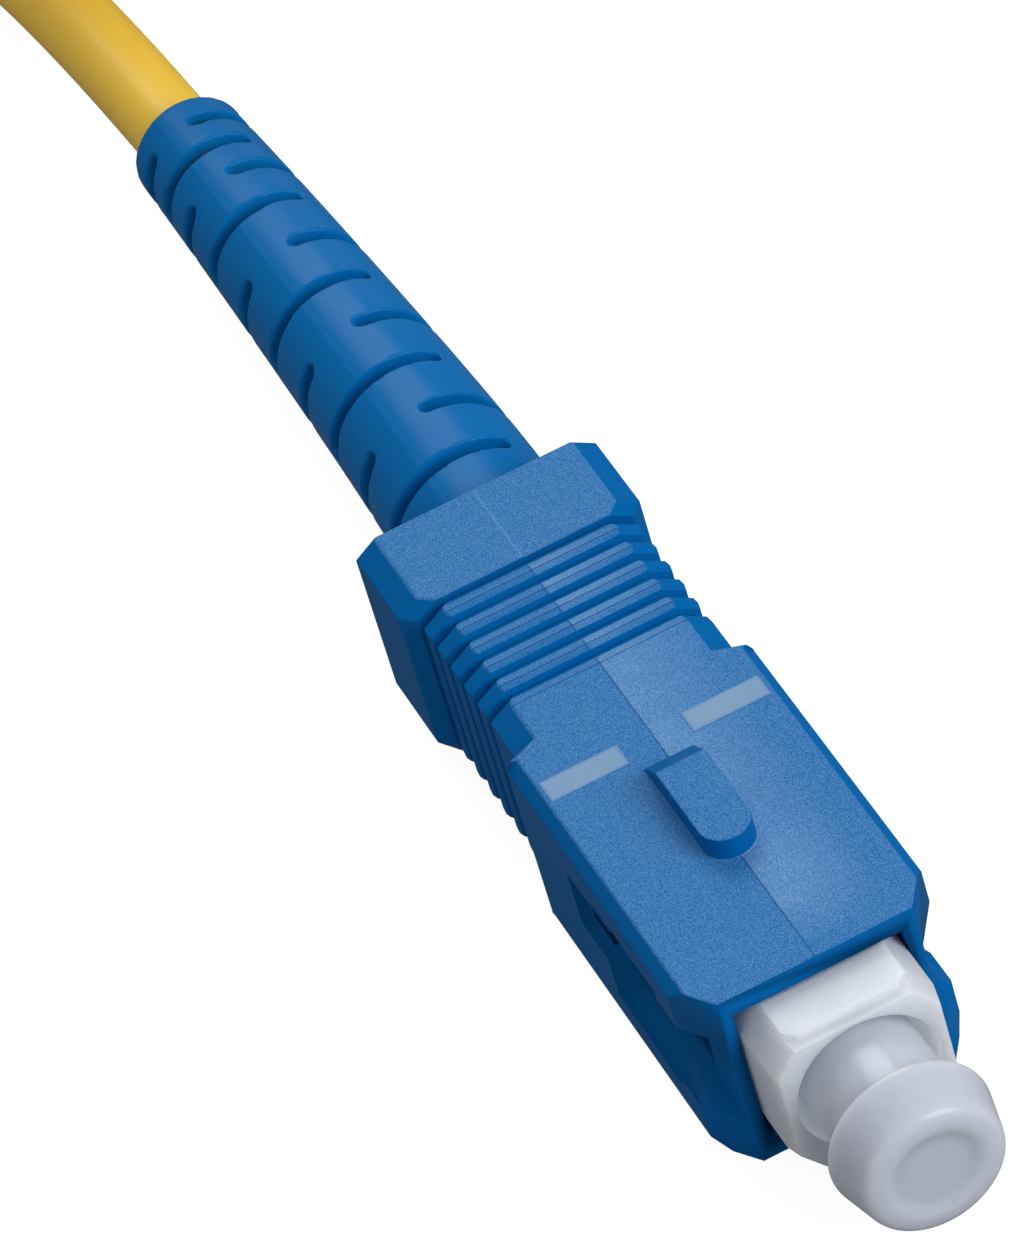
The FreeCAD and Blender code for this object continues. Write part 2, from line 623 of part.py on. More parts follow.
def dust_cap():
    """The soft cap: a neck that slips over the ferrule and a tapered head to pull it by."""
    neck_rear = FRAME_PROTRUSION - CAP_NECK_DEPTH
    head_rear = FRAME_PROTRUSION + CAP_HEAD_GAP
    neck = CAP_NECK_DIAMETER / 2
    rim = CAP_HEAD_DIAMETER / 2
    front = CAP_FRONT_DIAMETER / 2
    dimple = CAP_DIMPLE_DIAMETER / 2
    r = CAP_ROUNDING
    dish = x_cap_front - CAP_DIMPLE_DEPTH
    profile = [
        (neck_rear, 0),
        (neck_rear, neck),
        (head_rear, neck),
        (head_rear, rim - r / 2),
        (head_rear + r / 2, rim),
        (x_cap_front - r, front + r / 2),
        (x_cap_front - r * 0.3, front - r * 0.1),
        (x_cap_front, front - r),
        (x_cap_front, dimple),
        (dish, dimple - CAP_DIMPLE_SLOPE),
        (dish, 0),
    ]
    hole_end = x_cap_front - CAP_END_WALL
    hole = cylinder(neck_rear - 1, hole_end, FERRULE_DIAMETER + 2 * RUN)
    return revolved(profile).cut(hole)


def build():
    """Make every sub-part and write its file."""
    keep("grip_housing", grip_housing())
    keep("plug_frame", plug_frame())
    ferrule_shape, ferrule_rear, ferrule_tip = ferrule()
    keep("ferrule", ferrule_shape)
    flange_shape, flange_end = ferrule_flange(ferrule_rear)
    keep("ferrule_flange", flange_shape)
    keep("glass_fibre", cylinder(ferrule_rear - FIBRE_TAIL, ferrule_tip, FIBRE_DIAMETER))
    guide_front = flange_end + GUIDE_SEAT - GLUE
    guide_rear = guide_front - GUIDE_LENGTH
    keep("guide_tube", pipe(guide_rear, guide_front, GUIDE_DIAMETER, BUFFER_DIAMETER + 2 * BUFFER_ROOM))
    keep("float_spring", float_spring())
    keep("back_body", back_body())
    keep("aramid_yarn", aramid_yarn())
    keep("crimp_sleeve", crimp_sleeve())
    buffer_front = ferrule_rear - FIBRE_TAIL - FLOAT_TRAVEL - SOFT
    keep("tight_buffer", cylinder(x_jacket + GLUE, buffer_front, BUFFER_DIAMETER))
    line = Part.Wire(route_edges(CABLE_POINTS))
    keep("strain_boot", strain_boot(line))
    circle = Part.Wire(Part.makeCircle(JACKET_DIAMETER / 2, line.Edges[0].valueAt(0), Vector(-1, 0, 0)))
    jacket = line.makePipeShell([circle], True, False)
    section = math.pi * JACKET_DIAMETER ** 2 / 4
    print("cable volume %.1f, section x length %.1f" % (jacket.Volume, section * line.Length))
    coil = coil_solid()
    jacket = jacket.cut(coil)
    keep("cable_jacket", jacket)
    keep("cable_coil", coil)
    keep("dust_cap", dust_cap())
    os.makedirs("parts", exist_ok=True)
    for name, shape in parts.items():
        shape.exportStep("parts/%s.step" % name)
        print(name, shape.ShapeType, len(shape.Solids), shape.isValid(), round(shape.Volume, 3))


build()
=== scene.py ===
# %% [markdown]
# # A fibre plug with its boot, cable and dust cap
# The real object is a small moulded plug. A blue sleeve slides on a white inner body, a slotted rubber boot
# guards the cable behind it, and a milky cap covers the polished tip. The solids come from the CAD model.
# Blender gives them soft edges, real surfaces, three lamps and a camera.

# %% Load the model
import math
import bmesh
import bpy
import numpy as np
from mathutils import Matrix, Vector


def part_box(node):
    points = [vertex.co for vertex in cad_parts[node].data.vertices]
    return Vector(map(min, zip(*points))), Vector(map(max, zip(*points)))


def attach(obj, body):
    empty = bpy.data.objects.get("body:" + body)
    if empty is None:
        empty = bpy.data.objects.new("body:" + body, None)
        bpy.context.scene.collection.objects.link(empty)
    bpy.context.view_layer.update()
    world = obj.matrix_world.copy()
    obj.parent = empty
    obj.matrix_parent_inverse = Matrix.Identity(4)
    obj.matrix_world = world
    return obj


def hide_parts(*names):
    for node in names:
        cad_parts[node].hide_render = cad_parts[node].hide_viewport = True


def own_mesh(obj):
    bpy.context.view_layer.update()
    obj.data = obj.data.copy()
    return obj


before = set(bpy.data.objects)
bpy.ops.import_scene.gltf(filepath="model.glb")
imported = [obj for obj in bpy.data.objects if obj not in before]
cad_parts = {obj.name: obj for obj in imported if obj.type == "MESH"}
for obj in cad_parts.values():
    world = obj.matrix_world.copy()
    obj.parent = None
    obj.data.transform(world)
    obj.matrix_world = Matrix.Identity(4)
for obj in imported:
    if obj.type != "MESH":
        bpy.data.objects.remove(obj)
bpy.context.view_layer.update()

# %% [markdown]
# ## Where things are
# Meshes are built in millimetres, because a rounding of a tenth of a millimetre is easier to read than
# 0.0001, and turned into metres at the end. Every place counts from a face of the CAD model.

# %% Places that the pieces count from, in millimetres
MM = 0.001
nose_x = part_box("grip_housing")[1].x / MM
top_z = 7.4
axis_z = 3.7
jacket_radius = 1.5
print("front face of the sleeve at x =", round(nose_x, 3), "mm")

# %% [markdown]
# ## The camera
# A long lens from far away keeps the plug's edges nearly parallel. The camera's place is given as a distance
# and two angles around a point on the plug, and then it is rolled about its own axis.

# %% Make the camera
def add_object(name, data):
    """A new object in the scene."""
    piece = bpy.data.objects.new(name, data)
    bpy.context.scene.collection.objects.link(piece)
    return piece


def place_camera(target, distance, azimuth, elevation, roll, lens):
    """Look at target (mm) from an azimuth and elevation in degrees, rolled about the line of sight."""
    a = math.radians(azimuth)
    e = math.radians(elevation)
    back = Vector((math.cos(e) * math.cos(a), math.cos(e) * math.sin(a), math.sin(e)))
    right = Vector((0, 0, 1)).cross(back).normalized()
    up = back.cross(right)
    turn = Matrix.Rotation(math.radians(roll), 3, back)
    axes = Matrix((turn @ right, turn @ up, back)).transposed().to_4x4()
    data = bpy.data.cameras.new("camera")
    data.lens = lens
    data.sensor_width = 36
    data.clip_start = 0.01
    data.clip_end = 20
    camera = add_object("camera", data)
    camera.matrix_world = Matrix.Translation((Vector(target) + back * distance) * MM) @ axes
    bpy.context.scene.camera = camera
    return camera


camera = place_camera(
    target=(nose_x - 23.51, -0.72, axis_z),
    distance=298.9,
    azimuth=-12.855,
    elevation=42.781,
    roll=-17.408,
    lens=260.87,
)
print("camera stands at, mm:", [round(v / MM, 1) for v in camera.location])

# %% [markdown]
# ## The cable
# The jacketed cable is one smooth NURBS curve with a round section. It leaves the boot straight, sinks to
# the table, and its spare length is wound into a small coil. The outer turns climb like a screw thread, the
# winding steps inward by one diameter at the top, and the inner turns come down again inside the outer ones.

# %% Places of the coil, in millimetres
cable_exit = Vector((nose_x - 21.2, 0.0, axis_z))
run_end = Vector((nose_x - 59.0, -0.5, axis_z - 0.8))
coil_entry = Vector((nose_x - 79.5, -2.8, axis_z - 1.9))
outer_radius = 16.65
inner_radius = 13.55
turn_rise = 3.15
outer_turns = 5.0
step_turns = 0.3
coil_turns = 9.9
tuck = 0.4
points_per_turn = 16
heading = (coil_entry - run_end).to_2d().normalized()
coil_centre = coil_entry.to_2d() + outer_radius * Vector((heading.y, -heading.x))
start_angle = math.atan2(coil_entry.y - coil_centre.y, coil_entry.x - coil_centre.x)
start_degrees = round(math.degrees(start_angle), 1)
print("coil's centre:", [round(v, 2) for v in coil_centre], "and start angle:", start_degrees)

# %% Steps of the coil: a height and a radius for every part of a turn
def eased(t, start, end):
    """0 before start, 1 after end, and a soft S between them."""
    u = min(max((t - start) / (end - start), 0.0), 1.0)
    return u * u * (3 - 2 * u)


def coil_place(t):
    """The centre of the strand t turns into the coil, in millimetres."""
    inward = eased(t, outer_turns - step_turns / 2, outer_turns + step_turns / 2)
    tucked = tuck * eased(t, coil_turns - 0.5, coil_turns)
    radius = outer_radius + (inner_radius - outer_radius) * inward - tucked
    climbed = min(t, outer_turns - 0.1) - max(t - outer_turns - 0.1, 0.0)
    height = coil_entry.z + turn_rise * max(climbed, 0.0)
    angle = start_angle - 2 * math.pi * t
    reach = radius / math.cos(math.pi / points_per_turn)
    x = coil_centre.x + reach * math.cos(angle)
    y = coil_centre.y + reach * math.sin(angle)
    return Vector((x, y, height))


print("coil is", round(2 * (outer_radius + jacket_radius), 1), "mm across outside")

# %% Points of the cable
# The route is the CAD model's. The cable lies a little off it, because the soft boot leans sideways.
route_points = [cable_exit, Vector((nose_x - 38.0, 0.0, axis_z)), run_end, coil_entry]
cable_points = [
    cable_exit,
    Vector((nose_x - 26.5, 0.5, axis_z + 0.1)),
    Vector((nose_x - 39.0, 0.4, axis_z + 0.15)),
    Vector((nose_x - 56.0, -0.1, axis_z - 0.05)),
    Vector((nose_x - 69.0, -0.9, axis_z - 1.3)),
]
for k in range(int(coil_turns * points_per_turn) + 1):
    cable_points.append(coil_place((k - 0.5) / points_per_turn))


def smooth_curve(name, points, radius, sides=6):
    """A round strand along a NURBS line of order 3, whose points are in millimetres."""
    data = bpy.data.curves.new(name, "CURVE")
    data.dimensions = "3D"
    spline = data.splines.new("NURBS")
    spline.points.add(len(points) - 1)
    for spot, place in zip(spline.points, points):
        spot.co = (place[0] * MM, place[1] * MM, place[2] * MM, 1)
        spot.radius = radius * MM
    spline.order_u = 3
    spline.use_endpoint_u = True
    spline.resolution_u = 12
    data.bevel_depth = 1.0
    data.bevel_resolution = sides
    data.use_fill_caps = True
    return add_object(name, data)


def finished_mesh(piece):
    """A mesh of a curve, or of an object with its modifiers."""
    return bpy.data.meshes.new_from_object(piece.evaluated_get(bpy.context.evaluated_depsgraph_get()))


def line_of(piece):
    """The points along a curve's own line, in millimetres."""
    bare = piece.data.copy()
    bare.bevel_depth = 0
    probe = add_object("probe", bare)
    mesh = finished_mesh(probe)
    points = [v.co / MM for v in mesh.vertices]
    bpy.data.objects.remove(probe)
    bpy.data.meshes.remove(mesh)
    return points


route = smooth_curve("route", route_points, jacket_radius)
route_line = line_of(route)
bpy.data.objects.remove(route)
cable = smooth_curve("cable", cable_points, jacket_radius, sides=8)
cable_line = line_of(cable)
cable_length = sum((b - a).length for a, b in zip(cable_line, cable_line[1:]))
print("cable is", round(cable_length), "mm long on", len(cable_points), "points")

# %% [markdown]
# ## The far end of the cable
# A pigtail ends bare, ready to be spliced: the jacket is cut back, its yarn is trimmed to a short brush, and
# the white buffered fibre stands out of it. It follows the last turn of the coil.

# %% Make the stripped end
def coil_from(start, end, count, lift=0.0, spread=0.0):
    """Points along the coil's last turn, for the parts that come out of the jacket."""
    places = []
    for k in range(count):
        t = start + (end - start) * k / (count - 1)
        x, y, z = coil_place(t)
        fan = k / (count - 1)
        out = Vector((x - coil_centre.x, y - coil_centre.y, 0)).normalized() * spread * fan
        places.append((x + out.x, y + out.y, z + lift * fan))
    return places


buffer_radius = 0.45
yarn_count = 7
yarn_radius = 0.16
jacket_end = coil_turns - 0.5 / points_per_turn
buffer_places = coil_from(jacket_end - 0.03, jacket_end + 0.13, count=5)
buffer_end = smooth_curve("bare_buffer", buffer_places, buffer_radius, sides=5)
yarn_ends = []
for k in range(yarn_count):
    turn = math.radians(360 * k / yarn_count)
    tip = jacket_end + 0.035 + 0.006 * (k % 3)
    places = coil_from(jacket_end - 0.02, tip, count=4, lift=math.sin(turn), spread=math.cos(turn))
    yarn_ends.append(smooth_curve("yarn_end_%d" % (k + 1), places, yarn_radius, sides=3))
print("stripped end: one buffer and", len(yarn_ends), "tufts of yarn")

# %% [markdown]
# ## The straps
# Two flat straps hold the coil together. Each is a thin band with rounded corners, drawn round all the
# strands that pass its place on the coil, so it fits whatever the winding does there.

# %% Tie the coil with two flat straps
strap_width = 5.0
strap_thickness = 0.2
strap_gap = 0.04
strap_reach = 0.15
corner_steps = 6


def mesh_from(bm, name):
    """A mesh with what a bmesh holds. The bmesh is freed."""
    mesh = bpy.data.meshes.new(name)
    bm.to_mesh(mesh)
    bm.free()
    return mesh


def strap_round(name, angle, width=strap_width, thickness=strap_thickness, gap=strap_gap):
    """A thin flat strap round all the strands that pass one angle (in radians) of the coil."""
    spots = []
    for point in cable_line:
        away = point.to_2d() - coil_centre
        turn = (math.atan2(away.y, away.x) - angle + math.pi) % (2 * math.pi) - math.pi
        if abs(turn) < strap_reach and away.length < outer_radius + 1:
            spots.append((away.length, point.z))
    reach = jacket_radius + gap
    near = min(r for r, z in spots) - reach
    far = max(r for r, z in spots) + reach
    low = min(z for r, z in spots) - reach
    high = max(z for r, z in spots) + reach
    loops = []
    for extra in (0.0, thickness):
        loop = []
        round_by = jacket_radius + extra
        for k, (r, z) in enumerate(((far, high), (near, high), (near, low), (far, low))):
            turn = math.pi / 2 * k
            middle_r = r - math.copysign(jacket_radius, r - (near + far) / 2)
            middle_z = z - math.copysign(jacket_radius, z - (low + high) / 2)
            for s in range(corner_steps + 1):
                a = turn + math.pi / 2 * s / corner_steps
                loop.append((middle_r + round_by * math.cos(a), middle_z + round_by * math.sin(a)))
        loops.append(loop)
    along = Vector((-math.sin(angle), math.cos(angle), 0))
    out = Vector((math.cos(angle), math.sin(angle), 0))
    bm = bmesh.new()
    rings = []
    for (r0, z0), (r1, z1) in zip(*loops):
        ring = []
        for r, z, side in ((r0, z0, -1), (r1, z1, -1), (r1, z1, 1), (r0, z0, 1)):
            spot = coil_centre.to_3d() + out * r + along * (side * width / 2) + Vector((0, 0, z))
            ring.append(bm.verts.new(spot * MM))
        rings.append(ring)
    for one, two in zip(rings, rings[1:] + rings[:1]):
        for k in range(4):
            bm.faces.new((one[k], one[(k + 1) % 4], two[(k + 1) % 4], two[k]))
    bmesh.ops.recalc_face_normals(bm, faces=bm.faces)
    strap = add_object(name, mesh_from(bm, name))
    spans = [round(v, 2) for v in (low, high, near, far)]
    print(name, "spans z %s to %s and radius %s to %s" % tuple(spans))
    return strap


straps = [
    strap_round("strap_one", math.radians(140)),
    strap_round("strap_two", math.radians(215)),
]

# %% Say what the cable is
for piece in (cable, buffer_end, *yarn_ends, *straps):
    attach(piece, "plug")
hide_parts("cable_jacket", "cable_coil")

# %% [markdown]
# ## Surfaces that several plastics share
# Moulded plastic copies the tool that formed it, and a tool that was eroded by sparks leaves a very fine
# grain. The grain is a node group: it gives a mask for the colour, a roughness and a height, and every
# plastic uses it with its own size and strength.

# %% Small helpers for node trees
def new_group(name, inputs, outputs):
    """An empty shader node group with named sockets: inputs hold (name, kind, value)."""
    group = bpy.data.node_groups.new(name, "ShaderNodeTree")
    for label, kind, value in inputs:
        socket = group.interface.new_socket(label, in_out="INPUT", socket_type=kind)
        socket.default_value = value
    for label, kind in outputs:
        group.interface.new_socket(label, in_out="OUTPUT", socket_type=kind)
    start = group.nodes.new("NodeGroupInput")
    end = group.nodes.new("NodeGroupOutput")
    return group, start, end


def add_math(tree, operation, a, b=None):
    """A Math node whose inputs are sockets or numbers. Returns its output."""
    node = tree.nodes.new("ShaderNodeMath")
    node.operation = operation
    for slot, value in zip(node.inputs, (a, b)):
        if value is None:
            continue
        if isinstance(value, (int, float)):
            slot.default_value = value
        else:
            tree.links.new(value, slot)
    return node.outputs[0]


def add_ramp(tree, value, start, end):
    """0 where a value is at start, 1 at end, straight in between. Returns the Map Range node."""
    node = tree.nodes.new("ShaderNodeMapRange")
    node.inputs["From Min"].default_value = start
    node.inputs["From Max"].default_value = end
    tree.links.new(value, node.inputs["Value"])
    return node


# %% Build the moulded grain
def make_moulded_grain():
    """Fine spark grain and slow blotches of gloss, both in object space."""
    group, start, end = new_group(
        "moulded_grain",
        [
            ("Grain Size mm", "NodeSocketFloat", 0.12),
            ("Grain Strength", "NodeSocketFloat", 1.0),
            ("Blotch Size mm", "NodeSocketFloat", 4.0),
            ("Low Roughness", "NodeSocketFloat", 0.4),
            ("High Roughness", "NodeSocketFloat", 0.5),
        ],
        [(label, "NodeSocketFloat") for label in ("Fleck", "Blotch", "Roughness", "Height")],
    )
    link = group.links.new
    place = group.nodes.new("ShaderNodeTexCoord")
    grain = group.nodes.new("ShaderNodeTexNoise")
    grain.inputs["Detail"].default_value = 2.5
    grain.inputs["Roughness"].default_value = 0.6
    blotch = group.nodes.new("ShaderNodeTexNoise")
    blotch.inputs["Detail"].default_value = 3
    link(place.outputs["Object"], grain.inputs["Vector"])
    link(place.outputs["Object"], blotch.inputs["Vector"])
    link(add_math(group, "DIVIDE", 1000.0, start.outputs["Grain Size mm"]), grain.inputs["Scale"])
    link(add_math(group, "DIVIDE", 1000.0, start.outputs["Blotch Size mm"]), blotch.inputs["Scale"])
    fleck = add_ramp(group, grain.outputs["Fac"], 0.35, 0.68)
    gloss = add_ramp(group, blotch.outputs["Fac"], 0.3, 0.7)
    link(start.outputs["Low Roughness"], gloss.inputs["To Min"])
    link(start.outputs["High Roughness"], gloss.inputs["To Max"])
    link(fleck.outputs[0], end.inputs["Fleck"])
    link(blotch.outputs["Fac"], end.inputs["Blotch"])
    link(gloss.outputs[0], end.inputs["Roughness"])
    height = add_math(group, "MULTIPLY", grain.outputs["Fac"], start.outputs["Grain Strength"])
    link(height, end.inputs["Height"])
    return group


moulded_grain = make_moulded_grain()
grain_outputs = [s.name for s in moulded_grain.interface.items_tree if s.in_out == "OUTPUT"]
print("group", moulded_grain.name, "gives", grain_outputs)

# %% [markdown]
# Two halves of a mould meet along a line, and the plastic shows a hair-thin ridge there. A second group
# makes that line: a mask that is 1 on the plane y = 0 and 0 a few hundredths of a millimetre away. It also
# tells the two halves apart.

# %% Build the parting line
def object_place(tree):
    """The X, Y and Z outputs of a surface point's place, in metres."""
    place = tree.nodes.new("ShaderNodeTexCoord")
    parts = tree.nodes.new("ShaderNodeSeparateXYZ")
    tree.links.new(place.outputs["Object"], parts.inputs[0])
    return [parts.outputs[name] for name in "XYZ"]


def make_parting_line():
    """Mask is 1 on the plane y = 0 and fades within Width. Side is 1 where y is above 0."""
    group, start, end = new_group(
        "parting_line",
        [("Width mm", "NodeSocketFloat", 0.05)],
        [("Mask", "NodeSocketFloat"), ("Side", "NodeSocketFloat")],
    )
    link = group.links.new
    _, y, _ = object_place(group)
    off = add_math(group, "MULTIPLY", add_math(group, "ABSOLUTE", y), 1000.0)
    fade = add_math(group, "DIVIDE", off, start.outputs["Width mm"])
    mask = add_math(group, "SUBTRACT", 1.0, fade)
    mask = add_math(group, "MAXIMUM", mask, 0.0)
    link(mask, end.inputs["Mask"])
    link(add_math(group, "GREATER_THAN", y, 0.0), end.inputs["Side"])
    return group


parting_line = make_parting_line()
print("group", parting_line.name, "is ready")

# %% [markdown]
# ## Materials
# One function makes a moulded plastic from two near shades, a roughness range and a grain. The Principled
# shader stays in the material itself, and what is the same all over is set on its own sockets.

# %% A moulded plastic
def principled(name, color, roughness=0.5, metallic=0.0):
    """A material with its Principled shader and colour ready."""
    material = bpy.data.materials.new(name)
    material.use_nodes = True
    shader = material.node_tree.nodes["Principled BSDF"]
    shader.inputs["Base Color"].default_value = (*color, 1)
    shader.inputs["Roughness"].default_value = roughness
    shader.inputs["Metallic"].default_value = metallic
    material.diffuse_color = (*color, 1)
    return material, shader


def use_group(tree, group, **values):
    """Place a node group and set its inputs by name, with underscores for spaces."""
    node = tree.nodes.new("ShaderNodeGroup")
    node.node_tree = group
    for label, value in values.items():
        node.inputs[label.replace("_", " ")].default_value = value
    return node


def blend_colors(tree, factor, first, second):
    """Mix two colours, given as tuples or sockets, by a factor socket or number. Returns the colour."""
    mix = tree.nodes.new("ShaderNodeMix")
    mix.data_type = "RGBA"
    for label, value in (("Factor", factor), ("A", first), ("B", second)):
        ends = [s for s in mix.inputs if s.name == label and s.enabled]
        if isinstance(value, tuple):
            ends[0].default_value = (*value, 1)
        elif isinstance(value, (int, float)):
            ends[0].default_value = value
        else:
            tree.links.new(value, ends[0])
    return [s for s in mix.outputs if s.enabled][0]


def add_bump(tree, shader, height, strength, depth_mm):
    """Feed a height in 0..1 to the shader's normal, as relief of a depth in millimetres."""
    bump = tree.nodes.new("ShaderNodeBump")
    bump.inputs["Strength"].default_value = strength
    bump.inputs["Distance"].default_value = depth_mm * MM
    tree.links.new(height, bump.inputs["Height"])
    tree.links.new(bump.outputs[0], shader.inputs["Normal"])
    return bump


def moulded_plastic(name, color, fleck_color, grain_mm, depth_mm, low, high, fleck=0.5, blotch_mm=4.0):
    """A plastic whose colour drifts to fleck_color on the high spots of its grain."""
    material, shader = principled(name, color)
    tree = material.node_tree
    grain = use_group(
        tree,
        moulded_grain,
        Grain_Size_mm=grain_mm,
        Blotch_Size_mm=blotch_mm,
        Low_Roughness=low,
        High_Roughness=high,
    )
    tint = add_math(tree, "MULTIPLY", grain.outputs["Fleck"], fleck)
    tree.links.new(blend_colors(tree, tint, color, fleck_color), shader.inputs["Base Color"])
    tree.links.new(grain.outputs["Roughness"], shader.inputs["Roughness"])
    add_bump(tree, shader, grain.outputs["Height"], strength=0.5, depth_mm=depth_mm)
    return material, shader, grain


# %% The blues
SLEEVE_BLUE = (0.0, 0.12, 0.38)
# The top's fleck colour is partly grain and partly painted glints from the back lamp.
SLEEVE_GRAIN_AND_GLINT = (0.09, 0.265, 0.55)
# These two colours are a painted sheen on one mould half, with painted glints in its grain.
SLEEVE_PAINTED_SHEEN = (0.08, 0.24, 0.5)
SLEEVE_PAINTED_SHEEN_GLINT = (0.26, 0.46, 0.72)
SEAM_LIGHT = (0.12, 0.33, 0.6)
# The dark seam colour also paints shade into the ribs' creases.
DARK_SEAM_AND_SHADE = (0.0, 0.04, 0.19)
sleeve_blue, sleeve_shader, sleeve_grain = moulded_plastic(
    "sleeve_blue", SLEEVE_BLUE, SLEEVE_GRAIN_AND_GLINT,
    grain_mm=0.052, depth_mm=0.015, low=0.36, high=0.44,
)
boot_blue, boot_shader, _ = moulded_plastic(
    "boot_blue", (0.0, 0.14, 0.42), (0.0, 0.16, 0.46),
    grain_mm=0.2, depth_mm=0.006, low=0.3, high=0.38,
)
sleeve_shader.inputs["Specular IOR Level"].default_value = 0.04
boot_shader.inputs["Specular IOR Level"].default_value = 0.08
print("sleeve and boot are near blues, and the boot is smoother")

# %% [markdown]
# The sleeve's flat top and its key get light flecks in their grain, partly grain and partly painted glints
# where the top catches the back lamp, and its sides get none. A painted sheen lightens one mould half,
# strongest beside the seam, and the other has none. Each finger rib has a bright strip, then painted shade: a
# dark line and a darker strip.

# %% Places and strengths of the sleeve's marks, in millimetres
rib_rear = nose_x - 22.1
rib_front = nose_x - 15.68
rib_pitch = 1.07
flat_top_low, flat_top_high = top_z - 0.06, top_z + 0.03
key_top_z = top_z + 0.86
seam_width = 0.045
# Where the painted sheen begins and where it is full, along x and across y.
sheen_starts, sheen_is_full = nose_x - 0.4, nose_x - 2.5
sheen_edge_y, sheen_full_y = 3.3, 0.7
# Each rib's dark line and darker strip are painted shade.
crease_shade_from, crease_shade_to = 0.69, 0.735
shaded_strip_from = 0.72
shaded_strip_tone = 0.45
crease_shade_tone = 0.75
seam_tone = 0.7
print("ribs run from x =", round(rib_rear, 2), "to", round(rib_front, 2), "mm")

# %% Add the sleeve's marks
def between(tree, value, low, high):
    """1 where a value lies between low and high, else 0."""
    above = add_math(tree, "GREATER_THAN", value, low)
    return add_math(tree, "MULTIPLY", above, add_math(tree, "LESS_THAN", value, high))


def add_sleeve_marks(material, shader, grain):
    """Grain with painted glints on the flat top and the key, a painted sheen beside the key, painted shade in
    each rib, and the seam.
    """
    tree = material.node_tree
    x, y, z = object_place(tree)
    flat_top = between(tree, z, flat_top_low * MM, flat_top_high * MM)
    key_top = add_math(tree, "GREATER_THAN", z, key_top_z * MM)
    on_top = add_math(tree, "MAXIMUM", flat_top, key_top)
    seam = use_group(tree, parting_line, Width_mm=seam_width)
    # Painted sheen: a lighter blue on the flat top of one mould half, strongest beside the seam.
    behind_front = add_ramp(tree, x, sheen_starts * MM, sheen_is_full * MM)
    beside_seam = add_ramp(tree, y, sheen_edge_y * MM, sheen_full_y * MM)
    before_collar = add_math(tree, "GREATER_THAN", x, rib_rear * MM)
    painted_sheen = add_math(tree, "MULTIPLY", behind_front.outputs[0], before_collar)
    for mask in (beside_seam.outputs[0], flat_top, seam.outputs["Side"], grain.outputs["Blotch"]):
        painted_sheen = add_math(tree, "MULTIPLY", painted_sheen, mask)
    # Light flecks on the up-facing tops only: grain and painted glints, none on the sides.
    grain_and_glints = add_math(tree, "MULTIPLY", grain.outputs["Fleck"], on_top)
    plain = blend_colors(tree, grain_and_glints, SLEEVE_BLUE, SLEEVE_GRAIN_AND_GLINT)
    bright = blend_colors(tree, grain_and_glints, SLEEVE_PAINTED_SHEEN, SLEEVE_PAINTED_SHEEN_GLINT)
    speckled_and_sheened = blend_colors(tree, painted_sheen, plain, bright)

    # Painted shade in the ribs: a darker strip and a thin dark line in each pitch.
    in_ribs = between(tree, x, rib_rear * MM, (rib_front + 0.1) * MM)
    in_ribs = add_math(tree, "MULTIPLY", in_ribs, flat_top)
    turns = add_math(tree, "DIVIDE", add_math(tree, "SUBTRACT", x, rib_rear * MM), rib_pitch * MM)
    step = add_math(tree, "FRACT", turns)
    painted_strip_shade = add_math(tree, "MULTIPLY", add_math(tree, "GREATER_THAN", step, shaded_strip_from), in_ribs)
    painted_strip_shade = add_math(tree, "MULTIPLY", painted_strip_shade, add_math(tree, "LESS_THAN", x, (rib_front - 0.3) * MM))
    painted_strip_shade = add_math(tree, "MULTIPLY", painted_strip_shade, shaded_strip_tone)
    strip_shaded = blend_colors(tree, painted_strip_shade, speckled_and_sheened, SLEEVE_BLUE)
    painted_crease_shade = add_math(tree, "MULTIPLY", between(tree, step, crease_shade_from, crease_shade_to), in_ribs)
    crease_shaded = blend_colors(tree, add_math(tree, "MULTIPLY", painted_crease_shade, crease_shade_tone), strip_shaded, DARK_SEAM_AND_SHADE)

    line_color = blend_colors(tree, before_collar, SEAM_LIGHT, DARK_SEAM_AND_SHADE)
    line = add_math(tree, "MULTIPLY", seam.outputs["Mask"], flat_top)
    marked = blend_colors(tree, add_math(tree, "MULTIPLY", line, seam_tone), crease_shaded, line_color)
    tree.links.new(marked, shader.inputs["Base Color"])
    bump = shader.inputs["Normal"].links[0].from_node
    grain_height = add_math(tree, "MULTIPLY", grain.outputs["Height"], on_top)
    tree.links.new(add_math(tree, "ADD", grain_height, line), bump.inputs["Height"])


# The lighter blue of one mould half is a painted sheen, the top's light flecks are partly painted glints, and
# the rib tones are painted shade.
add_sleeve_marks(sleeve_blue, sleeve_shader, sleeve_grain)
print("grain, haze, rib tones and seam added to", sleeve_blue.name)

# %% [markdown]
# ## Light in the thin walls
# Light that comes through the thin white walls brightens the gap round the cap's neck. Scattering in these
# materials gives too little of it, so a weak glow in the bore and on the neck makes it up. It is a look
# only: the real parts give off no light.

